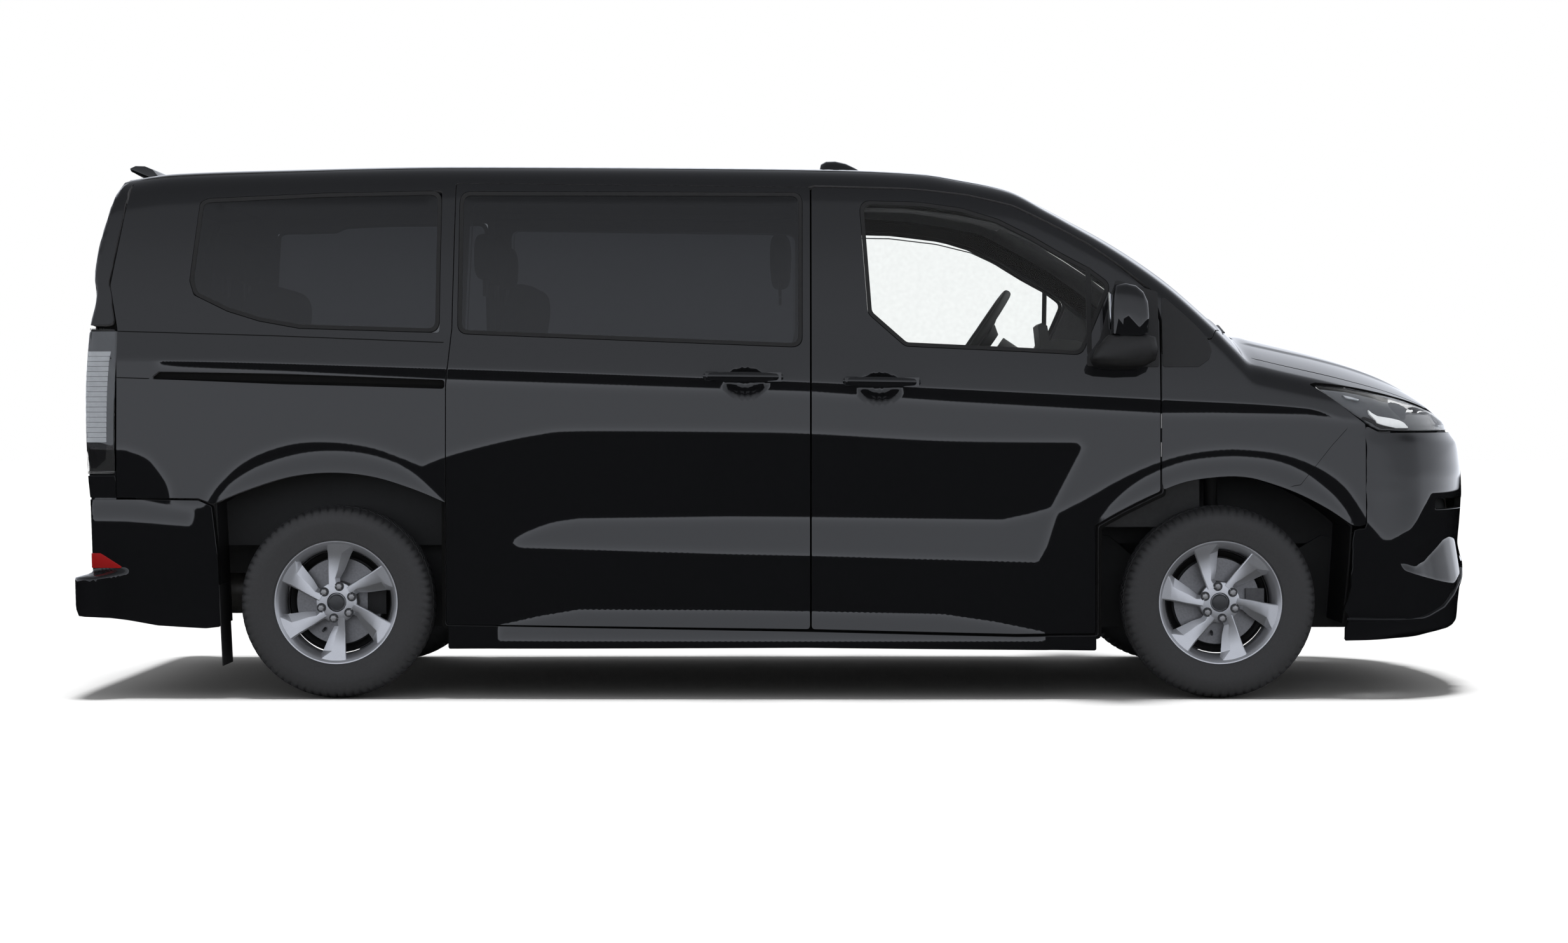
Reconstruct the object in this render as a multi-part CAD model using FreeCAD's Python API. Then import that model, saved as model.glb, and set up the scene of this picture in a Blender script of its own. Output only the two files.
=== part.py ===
import FreeCAD, Part
import math
import os

os.makedirs("parts", exist_ok=True)

# Minibus with a long wheelbase, nine seats, two sliding side doors and a lifting tailgate.
# X points to the front, Z up, and the origin is on the ground under the middle of the vehicle.
# The right side of the vehicle is at negative Y. All sizes are in millimetres.

# Driving dimensions
body_length = 5050.0
body_width = 2000.0
roof_height = 1919.0
wheelbase = 3100.0
front_overhang = 995.0
wheel_track = 1744.0
tyre_radius = 339.0
tyre_width = 215.0
bead_radius = 221.0
wall_thickness = 70.0
roof_thickness = 40.0
door_flange = 25.0
panel_gap = 6.0
seal_inset = 16.0
seal_gap = 22.0
seat_clearance = 0.3
sheet_wall = 6.0
glass_thickness = 5.0
glass_depth = 3.0
overrun = 60.0
shortest_edge = 0.03

half_length = body_length / 2
half_width = body_width / 2
front_axle_x = half_length - front_overhang
rear_axle_x = front_axle_x - wheelbase
wheel_plane_y = wheel_track / 2
above_roof = roof_height + overrun
outside_y = half_width + overrun
corner_reach_share = 0.45


# Basic shapes
def vec(x, y, z):
    return FreeCAD.Vector(x, y, z)


def box(x0, x1, y0, y1, z0, z1):
    return Part.makeBox(x1 - x0, y1 - y0, z1 - z0, vec(x0, y0, z0))


def rod(start, end, radius):
    along = end.sub(start)
    return Part.makeCylinder(radius, along.Length, start, along)


def pipe(start, end, radius, wall):
    return rod(start, end, radius).cut(rod(start, end, radius - wall))


def fused(shapes):
    if len(shapes) == 1:
        return shapes[0]
    return shapes[0].multiFuse(shapes[1:]).removeSplitter()


def mirrored(shape):
    return shape.mirror(vec(0, 0, 0), vec(0, 1, 0))


def moved_nowhere(shape):
    return shape


def both_sides(shape):
    return Part.makeCompound([shape, mirrored(shape)])


def moved(shape, x, y, z):
    copy = shape.copy()
    copy.translate(vec(x, y, z))
    return copy


def solids_of(shape, smallest_share=0.02):
    solids = sorted(shape.Solids, key=lambda solid: -solid.Volume)
    kept = [solid for solid in solids if solid.Volume > smallest_share * solids[0].Volume]
    return Part.makeCompound(kept)


def write(name, shape):
    solids = shape.Solids
    result = solids[0] if len(solids) == 1 else Part.makeCompound(solids)
    result.exportStep("parts/" + name + ".step")


def rounded_wire(points, radius):
    # A closed outline whose corners are arcs, smaller where a side is short.
    count = len(points)
    edges = []
    ends = []
    for index in range(count):
        corner = points[index]
        back = points[index - 1].sub(corner)
        ahead = points[(index + 1) % count].sub(corner)
        half_turn = back.getAngle(ahead) / 2
        reach = min(radius / math.tan(half_turn), back.Length * corner_reach_share,
                    ahead.Length * corner_reach_share)
        first = corner.add(back.normalize().multiply(reach))
        last = corner.add(ahead.normalize().multiply(reach))
        middle = first.add(last).multiply(0.5)
        size = reach * math.tan(half_turn)
        centre_way = middle.sub(corner).normalize()
        crown = corner.add(centre_way.multiply(size / math.sin(half_turn) - size))
        edges.append(Part.Arc(first, crown, last).toShape())
        ends.append((first, last))
    for index in range(count):
        start = ends[index - 1][1]
        stop = ends[index][0]
        if start.distanceToPoint(stop) > shortest_edge:
            edges.append(Part.LineSegment(start, stop).toShape())
    return Part.Wire(Part.__sortEdges__(edges))


def side_points(shares):
    # Side view points from shares of the half length and of the roof height.
    return [vec(x * half_length, 0, z * roof_height) for x, z in shares]


def side_face(points, radius=0.0, grow=0.0):
    if radius > 0:
        wire = rounded_wire(points, radius)
    else:
        wire = Part.makePolygon(points + points[:1])
    face = Part.Face(wire)
    if grow:
        face = face.makeOffset2D(grow, 2)
    return face


def side_prism(points, radius=0.0, grow=0.0, near=0.0, far=0.0):
    # The outline pushed through the right half of the body, from near to far out.
    reach = far or outside_y
    face = side_face(points, radius, grow)
    return moved(face.extrude(vec(0, near - reach, 0)), 0, -near, 0)


def plan_prism(points, low=0.0, high=0.0):
    corners = [vec(x, y, low) for x, y in points]
    top = high or above_roof
    face = Part.Face(Part.makePolygon(corners + corners[:1]))
    return face.extrude(vec(0, 0, top - low))


def smooth_value(table, at):
    # A smooth curve through the table that never overshoots its points.
    xs = [point[0] for point in table]
    ys = [point[1] for point in table]
    last = len(xs) - 1
    steps = [xs[i + 1] - xs[i] for i in range(last)]
    slopes = [(ys[i + 1] - ys[i]) / steps[i] for i in range(last)]
    if at <= xs[0]:
        return ys[0] + slopes[0] * (at - xs[0])
    if at >= xs[last]:
        return ys[last] + slopes[-1] * (at - xs[last])
    tangents = [slopes[0]]
    for i in range(1, last):
        if slopes[i - 1] * slopes[i] <= 0:
            tangents.append(0.0)
        else:
            before = 2 * steps[i] + steps[i - 1]
            after = steps[i] + 2 * steps[i - 1]
            tangents.append((before + after) / (before / slopes[i - 1] + after / slopes[i]))
    tangents.append(slopes[-1])
    i = max(k for k in range(last) if xs[k] <= at)
    t = (at - xs[i]) / steps[i]
    low_part = ys[i] * (2 * t ** 3 - 3 * t ** 2 + 1) + steps[i] * tangents[i] * (t ** 3 - 2 * t ** 2 + t)
    high_part = ys[i + 1] * (3 * t ** 2 - 2 * t ** 3) + steps[i] * tangents[i + 1] * (t ** 3 - t ** 2)
    return low_part + high_part


# The body's envelope. The cross sections carry a side curve, a crowned top and a rounded shoulder,
# and the plan sections round the nose and the tail. Each table holds shares of the overall sizes.
side_curve_shares = [(0.099, 0.925), (0.135, 0.962), (0.172, 0.972), (0.261, 0.996), (0.334, 0.994),
                     (0.417, 0.997), (0.49, 1.0), (0.568, 0.988), (0.672, 0.957), (0.782, 0.92),
                     (0.912, 0.866), (1.0, 0.826)]
top_line_shares = [(-1.0, 0.962), (-0.938, 0.973), (-0.862, 0.987), (-0.717, 0.9937), (-0.467, 1.0),
                   (-0.264, 0.999), (0.042, 0.995), (0.195, 0.987), (0.251, 0.976), (0.316, 0.960),
                   (0.3715, 0.927), (0.412, 0.901), (0.453, 0.874), (0.533, 0.8095), (0.6, 0.737),
                   (0.6325, 0.6996), (0.6515, 0.6785), (0.673, 0.671), (0.779, 0.637), (0.8135, 0.624),
                   (0.856, 0.6045), (0.9125, 0.568), (0.939, 0.539), (0.970, 0.503), (1.03, 0.4325)]
crown_shares = [(-0.97, 0.057), (0.119, 0.057), (0.251, 0.062), (0.316, 0.07), (0.371, 0.08),
                (0.453, 0.095), (0.533, 0.108), (0.6, 0.115), (0.65, 0.125), (0.792, 0.12), (1.03, 0.11)]
shoulder_shares = [(-0.97, 0.11), (0.238, 0.11), (0.396, 0.07), (0.594, 0.06), (0.673, 0.07), (1.03, 0.07)]
nose_line_shares = [(0.052, 0.911), (0.099, 0.918), (0.112, 0.950), (0.125, 0.982), (0.15, 0.990),
                    (0.164, 0.984), (0.181, 0.991), (0.216, 0.9985), (0.237, 0.998), (0.255, 0.994),
                    (0.286, 0.990), (0.32, 0.992), (0.348, 0.991), (0.382, 0.986), (0.404, 0.9885),
                    (0.435, 0.987), (0.464, 0.984), (0.488, 0.9735), (0.504, 0.971), (0.528, 0.958),
                    (0.558, 0.9505), (0.677, 0.9505), (1.042, 0.9505)]
tail_line_shares = [(0.052, -0.966), (0.365, -0.972), (0.409, -0.975), (0.547, -0.978), (0.635, -0.975),
                    (0.681, -0.972), (0.74, -0.964), (0.769, -0.967), (0.911, -0.945), (0.964, -0.929),
                    (1.042, -0.911)]
section_station_shares = [-1.03, -0.938, -0.83, -0.67, -0.475, -0.24, 0.0, 0.16, 0.24, 0.30, 0.36, 0.435,
                          0.515, 0.594, 0.634, 0.653, 0.673, 0.733, 0.812, 0.871, 0.931, 0.97, 1.03]
plan_level_shares = [0.08, 0.12, 0.17, 0.216, 0.25, 0.29, 0.344, 0.406, 0.458, 0.49, 0.526, 0.573,
                     0.677, 0.77, 0.911, 0.964, 1.04]
side_waist_taper_share = 0.03
crown_station_share = 0.9
envelope_floor_share = 0.099
nose_depth_share = 0.277
nose_power_share = 2.6
tail_depth_share = 0.048
tail_power_share = 5.0
side_steps = 9
shoulder_steps = 4
top_steps = 4
nose_steps = 16
tail_steps = 8
crossing_steps = 40


def side_half_width(x, z, inset):
    taper = side_waist_taper_share * (x / half_length) ** 2
    return half_width * (smooth_value(side_curve_shares, z / roof_height) - taper) - inset


def top_height(x, y, inset):
    across = y / (half_width * crown_station_share)
    crown = half_width * smooth_value(crown_shares, x / half_length)
    return roof_height * smooth_value(top_line_shares, x / half_length) - inset - crown * across ** 2


def half_section(x, side_inset, top_inset):
    # Points from the sill up over the shoulder to the centre line, for one station.
    z = roof_height * smooth_value(top_line_shares, x / half_length)
    for _ in range(crossing_steps):
        z = (z + top_height(x, side_half_width(x, z, side_inset), top_inset)) / 2
    y = side_half_width(x, z, side_inset)
    reach = half_width * smooth_value(shoulder_shares, x / half_length)
    low = roof_height * envelope_floor_share
    side_top = (side_half_width(x, z - reach, side_inset), z - reach)
    roof_edge = (y - reach, top_height(x, y - reach, top_inset))
    points = []
    for step in range(side_steps):
        level = low + (side_top[1] - low) * step / side_steps
        points.append((side_half_width(x, level, side_inset), level))
    for step in range(shoulder_steps + 1):
        t = step / shoulder_steps
        across = side_top[0] * (1 - t) ** 2 + 2 * t * (1 - t) * y + t * t * roof_edge[0]
        height = side_top[1] * (1 - t) ** 2 + 2 * t * (1 - t) * z + t * t * roof_edge[1]
        points.append((across, height))
    for step in range(top_steps):
        across = roof_edge[0] * (top_steps - 1 - step) / top_steps
        points.append((across, top_height(x, across, top_inset)))
    return points


def spline_through(points):
    curve = Part.BSplineCurve()
    last = len(points) - 1
    curve.interpolate(Points=points, Parameters=[i / last for i in range(last + 1)])
    return curve.toShape()


def section_wire(x, side_inset, top_inset):
    half = half_section(x, side_inset, top_inset)
    half[-1] = (0.0, half[-1][1])
    arch = [vec(x, -y, z) for y, z in half] + [vec(x, y, z) for y, z in reversed(half[:-1])]
    return Part.Wire([spline_through(arch), Part.LineSegment(arch[-1], arch[0]).toShape()])


def superellipse(depth, width, power, steps):
    points = []
    for step in range(steps + 1):
        angle = math.pi * (step / steps - 0.5)
        across = width * math.copysign(abs(math.sin(angle)) ** (2 / power), angle)
        along = depth * abs(math.cos(angle)) ** (2 / power)
        points.append((along, across))
    return points


def plan_wire(z, inset):
    level = z / roof_height
    width = outside_y - inset
    nose_depth = nose_depth_share * half_length
    nose_x = half_length * smooth_value(nose_line_shares, level) - inset - nose_depth
    tail_depth = tail_depth_share * half_length
    tail_x = half_length * smooth_value(tail_line_shares, level) + inset + tail_depth
    nose = [vec(nose_x + along, across, z)
            for along, across in superellipse(nose_depth, width, nose_power_share, nose_steps)]
    tail = [vec(tail_x - along, -across, z)
            for along, across in superellipse(tail_depth, width, tail_power_share, tail_steps)]
    return Part.Wire([spline_through(nose), Part.LineSegment(nose[-1], tail[0]).toShape(),
                      spline_through(tail), Part.LineSegment(tail[-1], nose[0]).toShape()])


def envelope(side_inset, top_inset, end_inset):
    sections = [section_wire(share * half_length, side_inset, top_inset) for share in section_station_shares]
    plans = [plan_wire(share * roof_height, end_inset) for share in plan_level_shares]
    return Part.makeLoft(sections, True, False).common(Part.makeLoft(plans, True, False))


outer_body = envelope(0.0, 0.0, 0.0)
inner_body = envelope(wall_thickness, roof_thickness, wall_thickness)
trim_body = envelope(wall_thickness + seat_clearance, roof_thickness + seat_clearance,
                     wall_thickness + seat_clearance)
flange_body = envelope(door_flange, door_flange, door_flange)
rebate_body = envelope(door_flange + panel_gap, door_flange + panel_gap, door_flange + panel_gap)
fixed_rebate_body = envelope(door_flange + seat_clearance, door_flange + seat_clearance,
                             door_flange + seat_clearance)
glass_outer_body = envelope(glass_depth, glass_depth, glass_depth)
glass_depth_inside = glass_depth + glass_thickness
glass_inner_body = envelope(glass_depth_inside, glass_depth_inside, glass_depth_inside)
body_shell = outer_body.cut(inner_body)
glass_shell = glass_outer_body.cut(glass_inner_body)
right_half = box(-half_length - overrun, half_length + overrun, -outside_y - overrun, 0, 0, above_roof)


# Outlines in the side view, as shares of the half length and of the roof height.
front_door_shares = [(0.0384, 0.128), (0.0384, 0.938), (0.174, 0.934), (0.2535, 0.923), (0.317, 0.903),
                     (0.368, 0.871), (0.42, 0.834), (0.467, 0.79), (0.511, 0.742), (0.521, 0.69),
                     (0.521, 0.118)]
front_window_shares = [(0.1046, 0.914), (0.116, 0.704), (0.168, 0.644), (0.338, 0.634), (0.4135, 0.6285),
                       (0.478, 0.628), (0.487, 0.70), (0.455, 0.761), (0.425, 0.788), (0.386, 0.816),
                       (0.346, 0.847), (0.2986, 0.879), (0.247, 0.90), (0.192, 0.91)]
slide_door_shares = [(0.0364, 0.128), (0.0364, 0.938), (-0.4586, 0.9458), (-0.4606, 0.677),
                     (-0.4685, 0.573), (-0.4685, 0.1365)]
slide_window_shares = [(0.0257, 0.929), (0.0257, 0.642), (-0.4495, 0.667), (-0.4495, 0.9307)]
quarter_window_shares = [(-0.818, 0.91), (-0.8285, 0.7655), (-0.822, 0.739), (-0.775, 0.709),
                         (-0.73, 0.6905), (-0.673, 0.677), (-0.478, 0.669), (-0.478, 0.9325),
                         (-0.643, 0.928), (-0.807, 0.918)]
rear_edge_shares = [(-0.9283, 0.365), (-0.9283, 0.677), (-0.939, 0.757), (-0.9185, 0.92), (-0.915, 0.955),
                    (-0.915, 1.03)]
pillar_foot_shares = [(0.66, 1.03), (0.66, 0.667), (0.595, 0.660), (0.5235, 0.634)]
body_side_shares = rear_edge_shares + pillar_foot_shares + [(0.5235, 0.08), (-0.76, 0.08), (-0.76, 0.365)]
tailgate_shares = [(-1.06, 0.371), (-1.06, 1.03)] + rear_edge_shares[::-1]
sill_line_shares = [(-1.06, 0.125), (-0.4515, 0.1016), (0.0317, 0.0943), (0.322, 0.0891), (1.06, 0.08),
                    (1.06, -0.1), (-1.06, -0.1)]
wing_shares = [(0.5235, 0.08), (0.5235, 0.634), (0.595, 0.660), (0.66, 0.667), (0.66, 1.0), (0.99, 1.0),
               (0.99, 0.505), (0.806, 0.5), (0.806, 0.315), (0.70, 0.315), (0.70, 0.08)]
headlamp_shares = [(0.731, 0.577), (0.806, 0.504), (0.826, 0.49), (1.04, 0.49), (1.04, 0.535),
                   (0.9295, 0.5215), (0.854, 0.552), (0.784, 0.570)]
bumper_shares = [(0.70, 0.05), (0.70, 0.315), (0.806, 0.315), (0.806, 0.513), (1.06, 0.513), (1.06, 0.05)]
tail_lamp_shares = [(-0.9283, 0.677), (-1.04, 0.684), (-1.04, 0.4085), (-0.9525, 0.4085), (-0.9283, 0.4325)]
rear_bumper_shares = [(-1.06, 0.05), (-1.06, 0.365), (-0.76, 0.365), (-0.76, 0.05)]

# Wheel arches, as shares of the tyre radius from the axle (forward) and from the ground (up).
front_lip_shares = [(-1.277, 0.2), (-1.307, 1.80), (0.059, 2.316), (1.375, 1.779), (1.271, 0.2)]
rear_lip_shares = [(-1.174, 0.2), (-1.26, 2.02), (-0.027, 2.36), (1.165, 2.012), (1.165, 0.2)]

rear_corner_shares = [(-1.06, 0.365), (-1.06, 0.41), (-0.9283, 0.41), (-0.9283, 0.365)]
lamp_column_shares = [(-1.06, 0.3), (-1.06, 0.69), (-0.9, 0.69), (-0.9, 0.3)]

# Plan view outlines, as shares of the half length and of the half width.
roof_plan_shares = [(-0.915, 0.76), (0.3, 0.76), (0.345, 0.74)]
screen_plan_shares = [(0.3525, 0.655), (0.6335, 0.80)]
cowl_plan_shares = [(0.636, 0.81), (0.6535, 0.81)]
bonnet_plan_shares = [(0.656, 0.80), (0.80, 0.80), (0.88, 0.75), (0.93, 0.66), (0.957, 0.48), (0.975, 0.25)]
bonnet_level_share = 0.518

# The tailgate's window in the rear view, as shares of the half width and of the roof height.
tailgate_window_shares = [(-0.74, 0.735), (0.74, 0.735), (0.68, 0.92), (-0.68, 0.92)]
window_corner = 40.0
door_corner = 30.0
lamp_inner_y = 420.0
tail_lamp_inner_y = 800.0
grille_half_width = 400.0
grille_low = 739.0
grille_back_share = 0.9
slat_count = 5
slat_height = 20.0
slat_gap = 24.0
intake_half_width = 420.0
intake_low = 330.0
intake_height = 170.0
plate_recess_low = 800.0
plate_recess_height = 130.0
plate_recess_half_width = 270.0


def arch_face(shares, axle_x, grow=0.0):
    corners = [vec(axle_x + x * tyre_radius, 0, z * tyre_radius) for x, z in shares]
    edges = [Part.LineSegment(corners[0], corners[1]).toShape(),
             Part.Arc(corners[1], corners[2], corners[3]).toShape(),
             Part.LineSegment(corners[3], corners[4]).toShape(),
             Part.LineSegment(corners[4], corners[0]).toShape()]
    face = Part.Face(Part.Wire(edges))
    if grow:
        face = face.makeOffset2D(grow, 2)
    return face


def arch_prism(shares, axle_x, grow=0.0, near=0.0, far=0.0):
    reach = far or outside_y
    return moved(arch_face(shares, axle_x, grow).extrude(vec(0, near - reach, 0)), 0, -near, 0)


def plan_outline(shares, grow=0.0):
    # Both sides of a plan outline, from the rear on the right round to the rear on the left.
    right = [(x * half_length, -y * half_width - grow) for x, y in shares]
    right[0] = (right[0][0] - grow, right[0][1])
    right[-1] = (right[-1][0] + grow, right[-1][1])
    return right + [(x, -y) for x, y in reversed(right)]


def window_cut(shares):
    return side_prism(side_points(shares), window_corner, 0.0, half_width / 2)


def window_glass(shares):
    return glass_shell.common(side_prism(side_points(shares), window_corner, -seat_clearance,
                                         half_width / 2))


def door_panel(shares, window_shares):
    # The outer layer has the full outline, and the inner layer is set in by the seal inset and gap.
    points = side_points(shares)
    full = side_prism(points, door_corner, 0.0, half_width / 2)
    inset = side_prism(points, door_corner, -(seal_inset + seal_gap), half_width / 2)
    outer_layer = outer_body.cut(flange_body).common(full)
    inner_layer = flange_body.cut(inner_body).common(inset)
    return fused([outer_layer, inner_layer]).cut(window_cut(window_shares)).cut(below_sill)


def door_hole(shares, rebate):
    points = side_points(shares)
    full = side_prism(points, door_corner, panel_gap, half_width / 2)
    inset = side_prism(points, door_corner, -seal_inset, half_width / 2)
    return full.cut(rebate).fuse(inset)


front_lip = arch_prism(front_lip_shares, front_axle_x)
rear_lip = arch_prism(rear_lip_shares, rear_axle_x)
below_sill = side_prism(side_points(sill_line_shares))
roof_cut = plan_prism(plan_outline(roof_plan_shares))
screen_cut = plan_prism(plan_outline(screen_plan_shares, panel_gap / 2))
cowl_cut = plan_prism(plan_outline(cowl_plan_shares, seat_clearance))
bonnet_face = plan_prism(plan_outline(bonnet_plan_shares))
bonnet_hole = plan_prism(plan_outline(bonnet_plan_shares, panel_gap))
header_cut = box(roof_plan_shares[-1][0] * half_length, screen_plan_shares[0][0] * half_length,
                 -roof_plan_shares[-1][1] * half_width, roof_plan_shares[-1][1] * half_width, 0, above_roof)
upper_front = box(0, half_length, -half_width, half_width, roof_height / 2, above_roof)
above_grille = box(0, half_length + overrun, -half_width, half_width,
                   roof_height * bonnet_level_share, above_roof)
bonnet_space = bonnet_hole.common(box(0, half_length + overrun, -half_width, half_width,
                                      roof_height * bonnet_level_share - panel_gap, above_roof))
between_sides = box(-half_length, 0, -roof_plan_shares[0][1] * half_width,
                    roof_plan_shares[0][1] * half_width,
                    0, above_roof)
lamp_prism = side_prism(side_points(headlamp_shares), 0.0, 0.0, lamp_inner_y)
lamp_hole = side_prism(side_points(headlamp_shares), 0.0, seat_clearance, lamp_inner_y - seat_clearance)
bumper_prism = side_prism(side_points(bumper_shares), 0.0, -seat_clearance)
tail_lamp_prism = side_prism(side_points(tail_lamp_shares), 0.0, 0.0, tail_lamp_inner_y)
tail_lamp_hole = side_prism(side_points(tail_lamp_shares), 0.0, seat_clearance,
                            tail_lamp_inner_y - seat_clearance)
rear_bumper_prism = side_prism(side_points(rear_bumper_shares), 0.0, -seat_clearance)

# Side walls, each one piece with its roof rail, pillars and sill
rear_corner = side_prism(side_points(rear_corner_shares), 0.0, 0.0, tail_lamp_inner_y)
side_frame = body_shell.common(side_prism(side_points(body_side_shares)).fuse(rear_corner))
for cutter in (roof_cut, screen_cut, cowl_cut, header_cut, below_sill, between_sides, rear_lip, front_lip,
               tail_lamp_hole, rear_bumper_prism, door_hole(front_door_shares, rebate_body),
               door_hole(slide_door_shares, fixed_rebate_body), window_cut(quarter_window_shares)):
    side_frame = side_frame.cut(cutter)
body_side = solids_of(side_frame)

# Doors with their pull handles, and side glass
handle_length = 270.0
handle_height = 34.0
handle_thickness = 14.0
handle_reach = 34.0
handle_foot = 40.0
front_handle_back_x = 207.0
front_handle_z = 1118.0
slide_handle_back_x = -280.0
slide_handle_z = 1134.0


def door_handle(back_x, level):
    # A pull bar on two feet that stand on the door's skin.
    skin_y = -side_half_width(back_x + handle_length / 2, level, 0.0)
    low = level - handle_height / 2
    bar = box(back_x, back_x + handle_length, skin_y - handle_reach,
              skin_y - handle_reach + handle_thickness, low,
              low + handle_height)
    feet = [box(x, x + handle_foot, skin_y - handle_reach, skin_y + handle_thickness, low,
                low + handle_height)
            for x in (back_x, back_x + handle_length - handle_foot)]
    return [bar] + feet


front_door = door_panel(front_door_shares, front_window_shares).cut(front_lip)
front_door = solids_of(fused([solids_of(front_door)] + door_handle(front_handle_back_x, front_handle_z)))
slide_door = door_panel(slide_door_shares, slide_window_shares).cut(rear_lip)
slide_door = solids_of(fused([solids_of(slide_door)] + door_handle(slide_handle_back_x, slide_handle_z)))
front_glass = window_glass(front_window_shares)
slide_glass = window_glass(slide_window_shares)
quarter_glass = window_glass(quarter_window_shares)

# Roof skin with its header, windscreen, scuttle panel and bonnet
roof = solids_of(fused([body_shell.common(roof_cut), body_shell.common(header_cut)]))
windscreen = solids_of(glass_shell.common(plan_prism(plan_outline(screen_plan_shares))).common(upper_front))
cowl_panel = body_shell.common(plan_prism(plan_outline(cowl_plan_shares))).common(upper_front)
bonnet = solids_of(body_shell.common(bonnet_face).common(above_grille))

# Front wings and headlamps
wing = body_shell.common(side_prism(side_points(wing_shares)))
scuttle_strip = box(cowl_plan_shares[0][0] * half_length, bonnet_plan_shares[0][0] * half_length,
                    -cowl_plan_shares[0][1] * half_width, cowl_plan_shares[0][1] * half_width, 0, above_roof)
for cutter in (front_lip, bonnet_space, cowl_cut, screen_cut, below_sill, lamp_hole, scuttle_strip,
               side_prism(side_points(bumper_shares))):
    wing = wing.cut(cutter)
wing = solids_of(wing)
headlamp = solids_of(body_shell.common(lamp_prism).cut(bonnet_space))

# Front bumper and grille
grille_hole = box(half_length * grille_back_share, half_length + overrun, -grille_half_width,
                  grille_half_width,
                  grille_low, above_roof)
bumper = body_shell.common(bumper_prism.fuse(mirrored(bumper_prism)))
for cutter in (front_lip, below_sill, lamp_hole):
    bumper = bumper.cut(cutter).cut(mirrored(cutter))
bumper = solids_of(bumper.cut(grille_hole).cut(bonnet_space))
grille_fill = box(half_length * grille_back_share, half_length, -grille_half_width + seat_clearance,
                  grille_half_width - seat_clearance, grille_low + seat_clearance,
                  roof_height * bonnet_level_share - panel_gap)
for row in range(slat_count):
    slot_low = grille_low + slat_height + row * (slat_height + slat_gap)
    slot = box(0, half_length + overrun, -grille_half_width + slat_height, grille_half_width - slat_height,
               slot_low, slot_low + slat_gap)
    grille_fill = grille_fill.cut(slot.cut(rebate_body))
grille = solids_of(body_shell.common(grille_fill))
intake = box(0, half_length + overrun, -intake_half_width, intake_half_width, intake_low,
             intake_low + intake_height)
bumper = solids_of(bumper.cut(intake.cut(rebate_body)))

# Tailgate, its glass, and the tail lamps
tailgate_prism = side_prism(side_points(tailgate_shares), 0.0, -panel_gap)
tailgate = body_shell.common(tailgate_prism.fuse(mirrored(tailgate_prism)))
lamp_column = side_prism(side_points(lamp_column_shares), 0.0, 0.0, tail_lamp_inner_y - panel_gap)
rear_window_points = [vec(-half_length - overrun, y * half_width, z * roof_height)
                      for y, z in tailgate_window_shares]


def rear_window(grow):
    face = Part.Face(rounded_wire(rear_window_points, window_corner))
    if grow:
        face = face.makeOffset2D(grow, 2)
    return face.extrude(vec(half_length / 2, 0, 0))


tailgate = solids_of(tailgate.cut(lamp_column).cut(mirrored(lamp_column)).cut(rear_window(0.0)))
plate_recess = box(-half_length - overrun, 0, -plate_recess_half_width, plate_recess_half_width,
                   plate_recess_low,
                   plate_recess_low + plate_recess_height)
tailgate = solids_of(tailgate.cut(plate_recess.cut(flange_body)))
tailgate_glass = solids_of(glass_shell.common(rear_window(-seat_clearance)))
tail_lamp = solids_of(body_shell.common(tail_lamp_prism))

# Rear bumper with the step that reaches furthest back
step_top = 455.0
step_height = 45.0
step_half_width = 900.0
step_depth = 200.0
step_power_share = 4.0
rear_bumper = body_shell.common(rear_bumper_prism.fuse(mirrored(rear_bumper_prism)))
for cutter in (rear_lip, below_sill):
    rear_bumper = rear_bumper.cut(cutter).cut(mirrored(cutter))
step_curve = [vec(-half_length + step_depth - along, across, step_top - step_height)
              for along, across in superellipse(step_depth, step_half_width, step_power_share, tail_steps)]
step_wire = Part.Wire([spline_through(step_curve), Part.LineSegment(step_curve[-1],
                                                                    step_curve[0]).toShape()])
step = Part.Face(step_wire).extrude(vec(0, 0, step_height)).cut(inner_body)
rear_bumper = solids_of(fused([rear_bumper, step]))

# Floor, chassis rails and wheel houses
floor_top = 560.0
floor_thickness = 30.0
rail_inner_y = 430.0
rail_width = 80.0
rail_height = 110.0
rail_inset = 120.0
bulkhead_x = 1490.0
bulkhead_thickness = 20.0
bulkhead_half_width = 860.0
bulkhead_high = 1225.0
house_low = 260.0
front_house_inner_y = 550.0
rear_house_inner_y = 715.0
beam_depth = 60.0
beam_height = 100.0
beam_front_x = 2370.0
beam_half_width = 520.0
tow_y = 480.0
tow_boss_radius = 16.0
tow_bore_radius = 8.0
tow_length = 90.0
tow_z = 430.0
beam_high = 480.0
floor_low = floor_top - floor_thickness
rail_low = floor_low - rail_height


def wheel_house(shares, axle_x, inner_y, wall_low):
    # A sheet bent over the tyre, with an inner wall, that fills the arch behind the body side.
    low_cut = box(-half_length, half_length, -outside_y, 0, house_low, above_roof)
    hood = arch_prism(shares, axle_x, sheet_wall, inner_y).cut(arch_prism(shares, axle_x, 0.0,
                                                                          inner_y - overrun))
    wall = arch_prism(shares, axle_x, sheet_wall, inner_y - sheet_wall, inner_y)
    wall = wall.common(box(-half_length, half_length, -outside_y, 0, wall_low, above_roof))
    return fused([hood.common(low_cut).common(trim_body), wall.common(trim_body)])


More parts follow.
